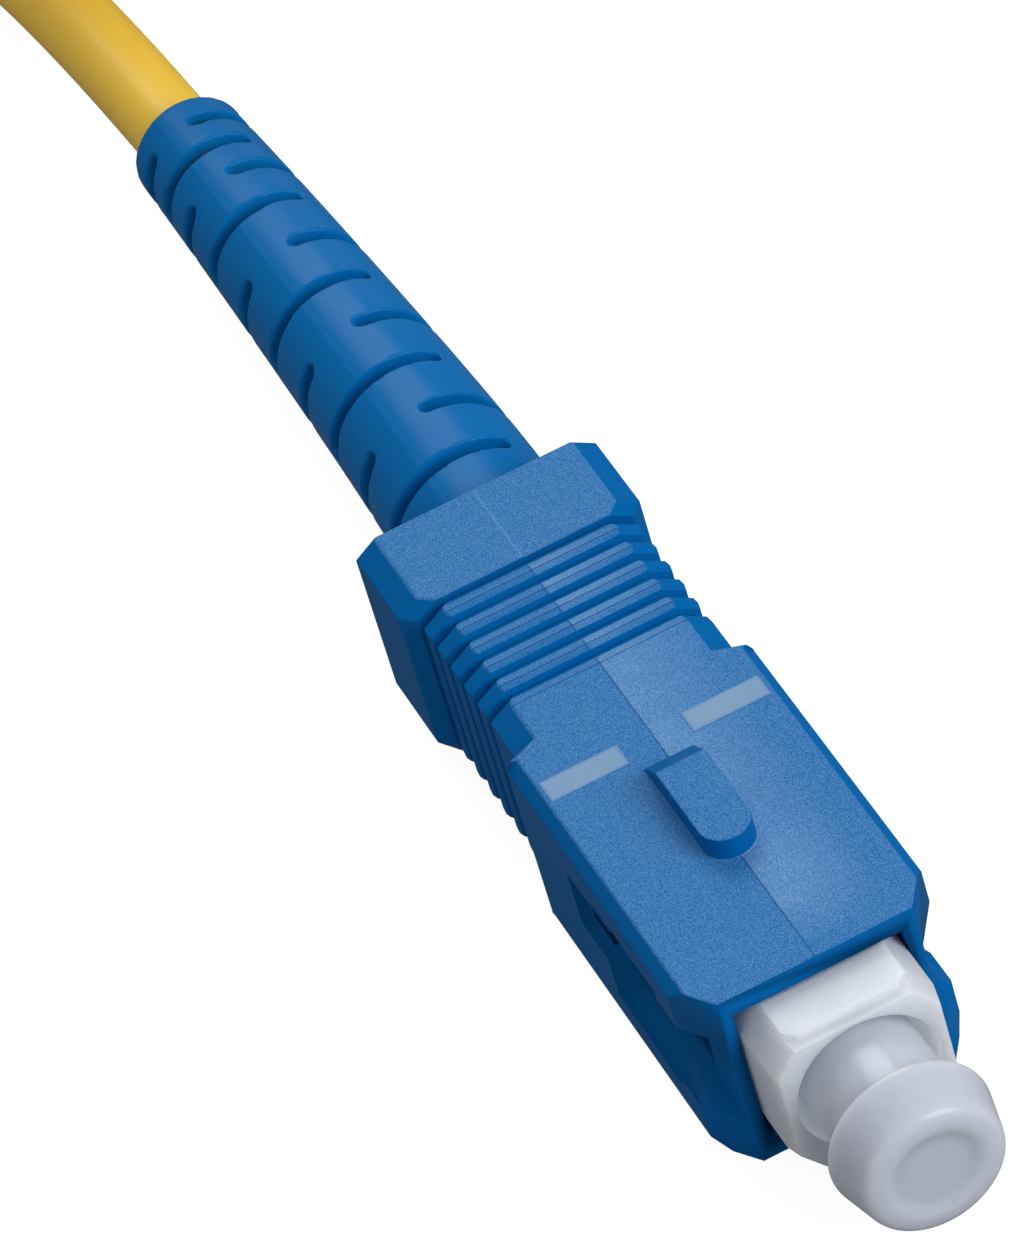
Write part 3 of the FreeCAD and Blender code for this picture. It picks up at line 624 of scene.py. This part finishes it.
# %% Build the glow inside the bore
def make_bore_glow():
    """A mask that is 1 inside a radius round the plug's axis and behind a plane x = Front."""
    group, start, end = new_group(
        "bore_glow",
        [
            ("Radius mm", "NodeSocketFloat", 2.6),
            ("Front mm", "NodeSocketFloat", 30.0),
            ("Glow", "NodeSocketFloat", 0.1),
        ],
        [("Strength", "NodeSocketFloat")],
    )
    x, y, z = object_place(group)
    height = add_math(group, "SUBTRACT", z, axis_z * MM)
    y_part = add_math(group, "MULTIPLY", y, y)
    z_part = add_math(group, "MULTIPLY", height, height)
    off = add_math(group, "SQRT", add_math(group, "ADD", y_part, z_part))
    radius = add_math(group, "MULTIPLY", start.outputs["Radius mm"], MM)
    front = add_math(group, "MULTIPLY", start.outputs["Front mm"], MM)
    near = add_math(group, "LESS_THAN", off, radius)
    behind = add_math(group, "LESS_THAN", x, front)
    inside = add_math(group, "MULTIPLY", near, behind)
    strength = add_math(group, "MULTIPLY", inside, start.outputs["Glow"])
    group.links.new(strength, end.inputs["Strength"])
    return group


bore_glow = make_bore_glow()
print("group", bore_glow.name, "is ready")

# %% The whites, the cap and the cable
frame_white, frame_shader, _ = moulded_plastic(
    "frame_white", (0.65, 0.69, 0.745), (0.69, 0.73, 0.785),
    grain_mm=0.25, depth_mm=0.004, low=0.34, high=0.46, blotch_mm=2.0,
)
cap_milky, cap_shader, _ = moulded_plastic(
    "cap_milky", (0.52, 0.56, 0.65), (0.56, 0.6, 0.69),
    grain_mm=0.3, depth_mm=0.004, low=0.2, high=0.26, blotch_mm=1.5,
)
cap_shader.inputs["IOR"].default_value = 1.4
jacket_yellow, jacket_shader, _ = moulded_plastic(
    "jacket_yellow", (0.98, 0.6, 0.07), (1.0, 0.66, 0.1),
    grain_mm=0.35, depth_mm=0.006, low=0.38, high=0.5,
)
for shader, depth in ((frame_shader, 2.0), (cap_shader, 2.0), (jacket_shader, 1.6)):
    shader.inputs["Subsurface Weight"].default_value = 0.9
    shader.inputs["Subsurface Radius"].default_value = (1.0, 0.9, 0.8)
    shader.inputs["Subsurface Scale"].default_value = depth * MM
buffer_white, _, _ = moulded_plastic(
    "buffer_white", (0.82, 0.82, 0.8), (0.86, 0.86, 0.84),
    grain_mm=0.2, depth_mm=0.003, low=0.35, high=0.45,
)
guide_clear, _, _ = moulded_plastic(
    "guide_clear", (0.78, 0.78, 0.75), (0.84, 0.84, 0.82),
    grain_mm=0.3, depth_mm=0.003, low=0.3, high=0.4,
)
GLOW_COLOR = (0.93, 0.97, 1.0, 1)
everywhere = nose_x + 20.0
behind_cap_head = nose_x + 5.2
for material, shader, radius, front, glow in (
    (frame_white, frame_shader, 2.51, everywhere, 0.13),
    (cap_milky, cap_shader, 2.3, behind_cap_head, 0.02),
):
    wall = use_group(material.node_tree, bore_glow, Radius_mm=radius, Front_mm=front, Glow=glow)
    shader.inputs["Emission Color"].default_value = GLOW_COLOR
    material.node_tree.links.new(wall.outputs["Strength"], shader.inputs["Emission Strength"])
strap_black, _, _ = moulded_plastic(
    "strap_black", (0.02, 0.02, 0.022), (0.04, 0.04, 0.045),
    grain_mm=0.15, depth_mm=0.02, low=0.5, high=0.65,
)
print("frame, cap, jacket, buffer, guide tube and strap are ready")

# %% [markdown]
# ## Metals and ceramic
# Turned metal has rings from the tool around its axis, and the crimp's copper has dulled. The ceramic is
# polished and nearly white. A ring group makes the turning marks from the distance along X.

# %% Build the turning marks
def make_turned_rings():
    """Fine rings along X with a little noise, for parts made on a lathe."""
    scale_for_one_mm = 314.0
    group, start, end = new_group(
        "turned_rings",
        [("Pitch mm", "NodeSocketFloat", 0.08)],
        [("Ring", "NodeSocketFloat")],
    )
    link = group.links.new
    place = group.nodes.new("ShaderNodeTexCoord")
    wave = group.nodes.new("ShaderNodeTexWave")
    wave.wave_type = "BANDS"
    wave.bands_direction = "X"
    wave.inputs["Distortion"].default_value = 1.5
    wave.inputs["Detail"].default_value = 2
    link(place.outputs["Object"], wave.inputs["Vector"])
    link(add_math(group, "DIVIDE", scale_for_one_mm, start.outputs["Pitch mm"]), wave.inputs["Scale"])
    link(wave.outputs["Fac"], end.inputs["Ring"])
    return group


turned_rings = make_turned_rings()
print("group", turned_rings.name, "is ready")

# %% Metals, ceramic, glass and yarn
def turned_metal(name, color, dull_color, low, high, pitch_mm):
    """A lathe-turned metal whose relief follows its rings and whose gloss drifts in blotches."""
    material, shader = principled(name, color, metallic=1.0)
    tree = material.node_tree
    rings = use_group(tree, turned_rings, Pitch_mm=pitch_mm)
    grain = use_group(
        tree,
        moulded_grain,
        Grain_Size_mm=0.3,
        Blotch_Size_mm=1.2,
        Low_Roughness=low,
        High_Roughness=high,
    )
    mixed = blend_colors(tree, grain.outputs["Blotch"], color, dull_color)
    tree.links.new(mixed, shader.inputs["Base Color"])
    tree.links.new(grain.outputs["Roughness"], shader.inputs["Roughness"])
    add_bump(tree, shader, rings.outputs["Ring"], strength=0.3, depth_mm=0.003)
    return material


nickel = turned_metal(
    "nickel", (0.68, 0.67, 0.64), (0.6, 0.59, 0.57), low=0.18, high=0.32, pitch_mm=0.08
)
copper_dull = turned_metal(
    "copper_dull", (0.6, 0.42, 0.27), (0.5, 0.34, 0.22), low=0.3, high=0.45, pitch_mm=0.15
)
spring_steel = turned_metal(
    "spring_steel", (0.56, 0.56, 0.57), (0.48, 0.48, 0.5), low=0.22, high=0.34, pitch_mm=0.05
)
ceramic_white, ceramic_shader, _ = moulded_plastic(
    "ceramic_white", (0.84, 0.83, 0.8), (0.87, 0.86, 0.83),
    grain_mm=0.1, depth_mm=0.001, low=0.08, high=0.14,
)
ceramic_shader.inputs["Coat Weight"].default_value = 0.4
glass_core, glass_shader = principled("glass_core", (0.9, 0.95, 1.0), roughness=0.05)
glass_shader.inputs["Transmission Weight"].default_value = 1.0
yarn_gold, _, _ = moulded_plastic(
    "yarn_gold", (0.62, 0.46, 0.14), (0.78, 0.64, 0.3),
    grain_mm=0.08, depth_mm=0.02, low=0.55, high=0.7,
)
print("metals, ceramic, glass and yarn are ready")

# %% Dress the CAD nodes that keep their own shape
def dress(piece, material):
    """Give a piece one material."""
    piece.data.materials.clear()
    piece.data.materials.append(material)


inner_finishes = {
    "ferrule": ceramic_white,
    "ferrule_flange": nickel,
    "glass_fibre": glass_core,
    "guide_tube": guide_clear,
    "float_spring": spring_steel,
    "back_body": nickel,
    "aramid_yarn": yarn_gold,
    "crimp_sleeve": copper_dull,
    "tight_buffer": buffer_white,
}
for node, material in inner_finishes.items():
    dress(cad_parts[node], material)
dress(cable, jacket_yellow)
dress(buffer_end, buffer_white)
for piece in yarn_ends:
    dress(piece, yarn_gold)
for strap in straps:
    dress(strap, strap_black)
print("dressed", len(inner_finishes), "inner nodes and the cable")

# %% [markdown]
# ## The spring
# The ferrule floats back against its spring, and a coil spring gets shorter when it is pushed. Here the
# spring is a copy of the CAD spring with a mesh of its own, hung on the plug.

# %% Copy the spring
spring_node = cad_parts["float_spring"]
spring_coil = add_object("spring_coil", spring_node.data.copy())
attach(spring_coil, "plug")
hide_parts("float_spring")
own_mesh(spring_coil)

# %% [markdown]
# ## Soft edges for moulded parts
# No moulded edge is perfectly sharp, and the thin bright line along an edge is what makes a model look real.
# The sleeve and the inner body start from the CAD faces. Flat triangles are joined into whole faces, edges
# that turn sharply get a small rounding, and weighted normals keep the flat faces flat.

# %% Take a CAD node's faces into millimetres
sharp_from = math.radians(24)
plenty_of_room = 10.0
share_of_room = 0.4


def faces_of(node):
    """A bmesh of a CAD node in millimetres, with its flat triangles joined."""
    bm = bmesh.new()
    bm.from_mesh(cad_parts[node].data)
    bmesh.ops.scale(bm, vec=(1 / MM,) * 3, verts=bm.verts)
    bmesh.ops.remove_doubles(bm, verts=bm.verts, dist=0.002)
    bmesh.ops.dissolve_limit(
        bm, angle_limit=math.radians(0.6), verts=bm.verts, edges=bm.edges, delimit={"NORMAL"}
    )
    bmesh.ops.recalc_face_normals(bm, faces=bm.faces)
    return bm


def room_beside(edge):
    """The shortest edge that meets this one at an angle, which is as far as a rounding may reach."""
    along = (edge.verts[1].co - edge.verts[0].co).normalized()
    room = plenty_of_room
    for corner in edge.verts:
        for other in corner.link_edges:
            across = (other.verts[1].co - other.verts[0].co).normalized()
            if other is not edge and abs(across.dot(along)) < 0.85:
                room = min(room, other.calc_length())
    return room


def round_edges(bm, name, width, rule):
    """Round the edges of a bmesh by width times what rule(edge) says, and return the mesh in metres."""
    weight = bm.edges.layers.float.new("bevel_weight_edge")
    for edge in bm.edges:
        if len(edge.link_faces) == 2 and edge.calc_face_angle(0) > sharp_from:
            edge[weight] = min(rule(edge), share_of_room * room_beside(edge) / width)
    mesh = mesh_from(bm, name)
    piece = add_object(name, mesh)
    bevel = piece.modifiers.new("round", "BEVEL")
    bevel.width = width
    bevel.segments = 3
    bevel.limit_method = "WEIGHT"
    bevel.use_clamp_overlap = False
    normals = piece.modifiers.new("flats", "WEIGHTED_NORMAL")
    normals.keep_sharp = False
    mesh.shade_smooth()
    done = finished_mesh(piece)
    piece.modifiers.clear()
    piece.data = done
    done.transform(Matrix.Scale(MM, 4))
    return piece


# %% Round the sleeve
window_rear = nose_x - 10.3
window_low, window_high = 1.2, 6.3
side_walls_from = 2.9
rib_share = 0.4
same_place = 0.01
sleeve_width = 9.0
long_edge_rear = nose_x - 13.8
nose_slant_rear = nose_x - 1.55
nose_slant = 1.6 / 1.05
cad_edge_cut = 0.15
edge_cut = 0.42


def sleeve_edge(edge):
    """The body's edges get the full rounding, the fine ribs less than half, and the windows none."""
    middle = (edge.verts[0].co + edge.verts[1].co) / 2
    in_side_wall = abs(middle.y) > side_walls_from
    if in_side_wall and middle.x > window_rear and window_low < middle.z < window_high:
        return 0.0
    return rib_share if rib_rear < middle.x < rib_front else 1.0


def widen_long_edges(bm, old_cut, new_cut):
    """Make the small cuts along the sleeve's four long edges wider, where the real ones are well rounded."""
    half = sleeve_width / 2
    for corner in bm.verts:
        y = abs(corner.co.y)
        z = min(corner.co.z, top_z - corner.co.z)
        if corner.co.x < long_edge_rear:
            continue
        if abs(z) < same_place and abs(y - half + old_cut) < same_place:
            corner.co.y -= math.copysign(new_cut - old_cut, corner.co.y)
            if corner.co.x > nose_slant_rear:
                corner.co.x += (new_cut - old_cut) * nose_slant
        elif abs(z - old_cut) < same_place and abs(y - half) < same_place:
            corner.co.z += math.copysign(new_cut - old_cut, axis_z - corner.co.z)


sleeve_faces = faces_of("grip_housing")
widen_long_edges(sleeve_faces, cad_edge_cut, edge_cut)
sleeve = round_edges(sleeve_faces, "sleeve", width=0.05, rule=sleeve_edge)
dress(sleeve, sleeve_blue)
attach(sleeve, "grip")
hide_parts("grip_housing")
print("sleeve has", len(sleeve.data.polygons), "faces")

# %% Round the inner body
inner_body = round_edges(faces_of("plug_frame"), "inner_body", width=0.06, rule=lambda edge: 1.0)
dress(inner_body, frame_white)
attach(inner_body, "plug")
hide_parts("plug_frame")
print("inner body has", len(inner_body.data.polygons), "faces")

# %% [markdown]
# ## The boot
# The boot is soft rubber, and its slots have thick rounded lips. A voxel remesh welds the CAD solid into one
# even skin, a few passes of smoothing round the lips, and the outside is then set back on its true taper so
# that it stays round. A faint ridge runs along it where the mould closed. The soft boot also leans a little
# to one side, so every point is moved from the straight solid's axis to the cable's own line.

# %% Follow the boot's axis in the CAD model and in the scene
boot_rear_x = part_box("strain_boot")[0].x / MM
boot_front_x = nose_x - 22.1
boot_collar_x = nose_x - 26.1
boot_base_radius = 3.075
boot_tip_radius = 2.1
boot_roll = math.radians(-25.5)
boot_stretch = 0.4
boot_slide = 1.3


def axis_at(line, x):
    """The place of a line at a distance x along the plug."""
    for a, b in zip(line, line[1:]):
        if b.x <= x <= a.x:
            return a.lerp(b, (a.x - x) / (a.x - b.x))
    return line[0]


table_step = 0.1
table_xs = np.arange(boot_rear_x - 1.0, boot_front_x + 0.5, table_step)
solid_axis = np.array([tuple(axis_at(route_line, x)) for x in table_xs])
leaning_axis = np.array([tuple(axis_at(cable_line, x)) for x in table_xs])
print("boot leans by up to", round(float(np.abs(leaning_axis - solid_axis).max()), 2), "mm")

# %% Remesh and smooth the boot
boot_voxel = 0.112
boot_passes = 4


def remeshed(node, name, voxel, passes):
    """An even skin of voxels over a CAD node, smoothed, in millimetres."""
    faces = faces_of(node)
    bmesh.ops.triangulate(faces, faces=faces.faces)
    piece = add_object(name, mesh_from(faces, name))
    skin = piece.modifiers.new("skin", "REMESH")
    skin.mode = "VOXEL"
    skin.voxel_size = voxel
    smooth = piece.modifiers.new("soften", "SMOOTH")
    smooth.factor = 0.5
    smooth.iterations = passes
    done = finished_mesh(piece)
    piece.modifiers.clear()
    piece.data = done
    return piece


boot = remeshed("strain_boot", "boot", boot_voxel, boot_passes)
spots = np.empty(len(boot.data.vertices) * 3)
boot.data.vertices.foreach_get("co", spots)
spots = spots.reshape(-1, 3)
triangles = sum(len(face.vertices) - 2 for face in boot.data.polygons)
print("boot skin has", len(spots), "points and", triangles, "triangles")

# %% Set the outside back on its taper, and lean it
skin_depth = 0.16
skin_flat, skin_fade = 0.03, 0.1
tip_face = 0.45
ridge_height = 0.015
ridge_degrees = 2.2


def table_row(xs):
    """The nearest row of the axis tables for each x."""
    return np.clip(np.round((xs - table_xs[0]) / table_step).astype(int), 0, len(table_xs) - 1)


row = table_row(spots[:, 0])
off_y = spots[:, 1] - solid_axis[row, 1]
off_z = spots[:, 2] - solid_axis[row, 2]
radius = np.hypot(off_y, off_z)
along = np.clip((boot_collar_x - spots[:, 0]) / (boot_collar_x - boot_rear_x), 0, 1)
true_radius = boot_base_radius + (boot_tip_radius - boot_base_radius) * along
short = true_radius - radius
skin = (np.abs(short) < skin_depth) & (spots[:, 0] < boot_collar_x)
skin &= spots[:, 0] > boot_rear_x + tip_face
flat = np.clip((np.abs(short) - skin_flat) / skin_fade, 0, 1) ** 1.5
new_radius = np.where(skin, true_radius - short * flat, radius)
turn = np.arctan2(-off_y, off_z) + boot_roll
ridge = ridge_height * np.exp(-((np.degrees(turn) / ridge_degrees) ** 2)) * skin * (1 - flat)
new_radius = new_radius + ridge
seated = np.clip((boot_front_x - spots[:, 0]) / (boot_front_x - boot_collar_x), 0, 1)
spots[:, 0] += boot_slide * (1 - along) * seated - boot_stretch * along
row = table_row(spots[:, 0])
spots[:, 1] = leaning_axis[row, 1] + off_y / radius * new_radius
spots[:, 2] = leaning_axis[row, 2] + off_z / radius * new_radius
boot.data.vertices.foreach_set("co", (spots * MM).ravel())
boot.data.update()
boot.data.shade_smooth()
dress(boot, boot_blue)
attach(boot, "plug")
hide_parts("strain_boot")
print("set", int(skin.sum()), "points on the taper")

# %% [markdown]
# ## The dust cap
# The cap is a turned shape, so its outline is spun round the ferrule's axis. The outline's corners are
# rounded first, which gives the soft rim and the shallow dish in the front.

# %% Round the corners of an outline
def rounded_outline(corners, steps=6):
    """Replace each corner (x, r, rounding) by a small arc of points."""
    points = []
    for k, (x, r, rounding) in enumerate(corners):
        here = Vector((x, r))
        if rounding == 0 or k in (0, len(corners) - 1):
            points.append(here)
            continue
        before = Vector(corners[k - 1][:2]) - here
        after = Vector(corners[k + 1][:2]) - here
        reach = min(rounding, before.length * 0.45, after.length * 0.45)
        a = here + before.normalized() * reach
        b = here + after.normalized() * reach
        for s in range(steps + 1):
            t = s / steps
            points.append(a * (1 - t) ** 2 + here * 2 * t * (1 - t) + b * t ** 2)
    return points


def spun(name, outline, sides=96):
    """Spin an outline of (x, r) round the plug's axis."""
    bm = bmesh.new()
    rings = []
    for x, r in outline:
        if r < 1e-6:
            rings.append([bm.verts.new((x, 0, axis_z))])
            continue
        ring = []
        for k in range(sides):
            a = 2 * math.pi * k / sides
            ring.append(bm.verts.new((x, r * math.sin(a), axis_z + r * math.cos(a))))
        rings.append(ring)
    for one, two in zip(rings, rings[1:]):
        for k in range(sides):
            after = k + 1
            corners = [one[k % len(one)], one[after % len(one)]]
            corners += [two[after % len(two)], two[k % len(two)]]
            corners = list(dict.fromkeys(corners))
            if len(corners) > 2:
                bm.faces.new(corners)
    bmesh.ops.recalc_face_normals(bm, faces=bm.faces)
    bmesh.ops.scale(bm, vec=(MM,) * 3, verts=bm.verts)
    mesh = mesh_from(bm, name)
    mesh.shade_smooth()
    return add_object(name, mesh)


# %% Spin the cap
cap_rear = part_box("dust_cap")[0].x / MM
cap_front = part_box("dust_cap")[1].x / MM
head_rear = cap_front - 2.2
hole_end = cap_front - 1.5
hole_radius = 1.3
neck_radius = 2.1
head_rear_radius = 2.88
head_front_radius = 2.42
rim_radius = 1.7
dish_radius = 1.3
dish_depth = 0.22
cap_corners = [
    (hole_end, 0, 0),
    (hole_end, hole_radius, 0.15),
    (cap_rear, hole_radius, 0.08),
    (cap_rear, neck_radius, 0.12),
    (head_rear, neck_radius, 0.55),
    (head_rear + 0.03, head_rear_radius, 0.3),
    (cap_front - 0.1, head_front_radius, 0.5),
    (cap_front, rim_radius, 0.3),
    (cap_front - dish_depth, dish_radius, 0.35),
    (cap_front - dish_depth, 0, 0),
]
cap = spun("dust_cap_dressed", rounded_outline(cap_corners))
dress(cap, cap_milky)
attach(cap, "cap")
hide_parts("dust_cap")
print("cap has", len(cap.data.polygons), "faces")

# %% [markdown]
# ## The two pale fields
# Two pale fields on the top tell whether the sleeve is fully home. They are a thin print, so they are plates
# of three hundredths of a millimetre, half sunk in the sleeve, that ride on it.

# %% Make the pale fields
field_front = nose_x - 11.2
field_rear = nose_x - 12.25
field_inner, field_outer = 1.15, 3.98
field_thickness = 0.03
bm = bmesh.new()
for side in (-1, 1):
    low_y, high_y = sorted((side * field_inner, side * field_outer))
    made = bmesh.ops.create_cube(bm, size=1)["verts"]
    bmesh.ops.scale(bm, vec=(field_front - field_rear, high_y - low_y, field_thickness), verts=made)
    middle = ((field_front + field_rear) / 2, (low_y + high_y) / 2, top_z)
    bmesh.ops.translate(bm, vec=middle, verts=made)
fields = round_edges(bm, "pale_fields", width=0.008, rule=lambda edge: 1.0)
print("pale fields have", len(fields.data.polygons), "faces")

# %% Give them their ink
SLEEVE_MEAN = (0.03, 0.185, 0.46)
ink_pale, ink_shader, _ = moulded_plastic(
    "ink_pale", (0.11, 0.26, 0.45), (0.16, 0.3, 0.49),
    grain_mm=0.1, depth_mm=0.01, low=0.45, high=0.55,
)


def soften_ink(material, shader, fade):
    """The ink thins out within fade, in millimetres, of its border, so the sleeve's blue shows through."""
    tree = material.node_tree
    x, y, _ = object_place(tree)
    off_x = add_math(tree, "SUBTRACT", x, (field_front + field_rear) / 2 * MM)
    off_y = add_math(tree, "SUBTRACT", add_math(tree, "ABSOLUTE", y), (field_inner + field_outer) / 2 * MM)
    off_x, off_y = (add_math(tree, "ABSOLUTE", off) for off in (off_x, off_y))
    room_x = add_math(tree, "SUBTRACT", (field_front - field_rear) / 2 * MM, off_x)
    room_y = add_math(tree, "SUBTRACT", (field_outer - field_inner) / 2 * MM, off_y)
    cover = add_math(tree, "DIVIDE", add_math(tree, "MINIMUM", room_x, room_y), fade * MM)
    cover = add_math(tree, "MINIMUM", add_math(tree, "MAXIMUM", cover, 0.0), 1.0)
    ink = shader.inputs["Base Color"].links[0].from_socket
    tree.links.new(blend_colors(tree, cover, SLEEVE_MEAN, ink), shader.inputs["Base Color"])


soften_ink(ink_pale, ink_shader, fade=0.13)
dress(fields, ink_pale)
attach(fields, "grip")
print("the fields' ink fades into the blue at its border")

# %% [markdown]
# ## Floor and light
# The floor is grey, and a glow of its own, seen by the camera and through clear parts, makes it read as
# white while the shadow stays. In reflections the floor shows only a tenth of that glow and a fifth of its
# grey, and the world is half as bright, so the plastics get less white shine than in a white room.
# A wide soft box behind the plug grazes the top, a second one lights it from the right, and a weak third
# one lifts the left side.

# %% Make the floor
bpy.ops.mesh.primitive_plane_add(size=6)
floor = bpy.context.object
floor.name = "floor"
FLOOR_GREY = (0.26, 0.26, 0.26)
BLACK = (0.0, 0.0, 0.0)
floor_glow = 0.92
glow_in_gloss = 0.1
floor_dimmed_in_gloss = 0.8
floor_pale, floor_shader = principled("floor_pale", FLOOR_GREY, roughness=0.9)
floor_shader.inputs["Specular IOR Level"].default_value = 0.0
tree = floor_pale.node_tree
rays = tree.nodes.new("ShaderNodeLightPath")
seen = add_math(tree, "MAXIMUM", rays.outputs["Is Camera Ray"], rays.outputs["Is Transmission Ray"])
in_gloss = add_math(tree, "MULTIPLY", rays.outputs["Is Glossy Ray"], glow_in_gloss)
seen = add_math(tree, "ADD", seen, in_gloss)
floor_shader.inputs["Emission Color"].default_value = (1, 1, 1, 1)
tree.links.new(add_math(tree, "MULTIPLY", seen, floor_glow), floor_shader.inputs["Emission Strength"])
dimmed = add_math(tree, "MULTIPLY", rays.outputs["Is Glossy Ray"], floor_dimmed_in_gloss)
tree.links.new(blend_colors(tree, dimmed, FLOOR_GREY, BLACK), floor_shader.inputs["Base Color"])
dress(floor, floor_pale)
print("floor glows", floor_glow, "for the camera")

# %% Make the world
world_light = 0.3
world_seen = 0.7
world_less_in_gloss = 0.15
world = bpy.data.worlds.new("studio")
bpy.context.scene.world = world
world.use_nodes = True
tree = world.node_tree
sky = tree.nodes["Background"]
rays = tree.nodes.new("ShaderNodeLightPath")
white_seen = add_math(tree, "MULTIPLY", rays.outputs["Is Camera Ray"], world_seen)
less_shine = add_math(tree, "MULTIPLY", rays.outputs["Is Glossy Ray"], world_less_in_gloss)
glow = add_math(tree, "SUBTRACT", add_math(tree, "ADD", white_seen, world_light), less_shine)
tree.links.new(glow, sky.inputs["Strength"])
sky.inputs["Color"].default_value = (1, 1, 1, 1)
print("world lights with", world_light, "and is white to the camera")

# %% Make the lamps
def soft_box(name, direction, distance, side, power):
    """A square lamp that shines at the plug from a direction. Distance and side in metres, power in watts."""
    data = bpy.data.lights.new(name, "AREA")
    data.shape = "RECTANGLE"
    data.size = data.size_y = side
    data.energy = power
    lamp = add_object(name, data)
    away = Vector(direction).normalized()
    lamp.location = away * distance
    lamp.rotation_mode = "QUATERNION"
    lamp.rotation_quaternion = away.to_track_quat("Z", "Y")
    return lamp


soft_box("back_box", (-0.715, 0.12, 0.68), distance=0.5, side=0.3, power=1.2)
soft_box("key_box", (0.68, 0.5, 0.54), distance=0.6, side=0.35, power=2.6)
soft_box("fill_box", (0.5, -0.8, 0.3), distance=0.6, side=0.4, power=0.5)
bpy.context.scene.view_settings.view_transform = "Standard"
print("three lamps are in place")
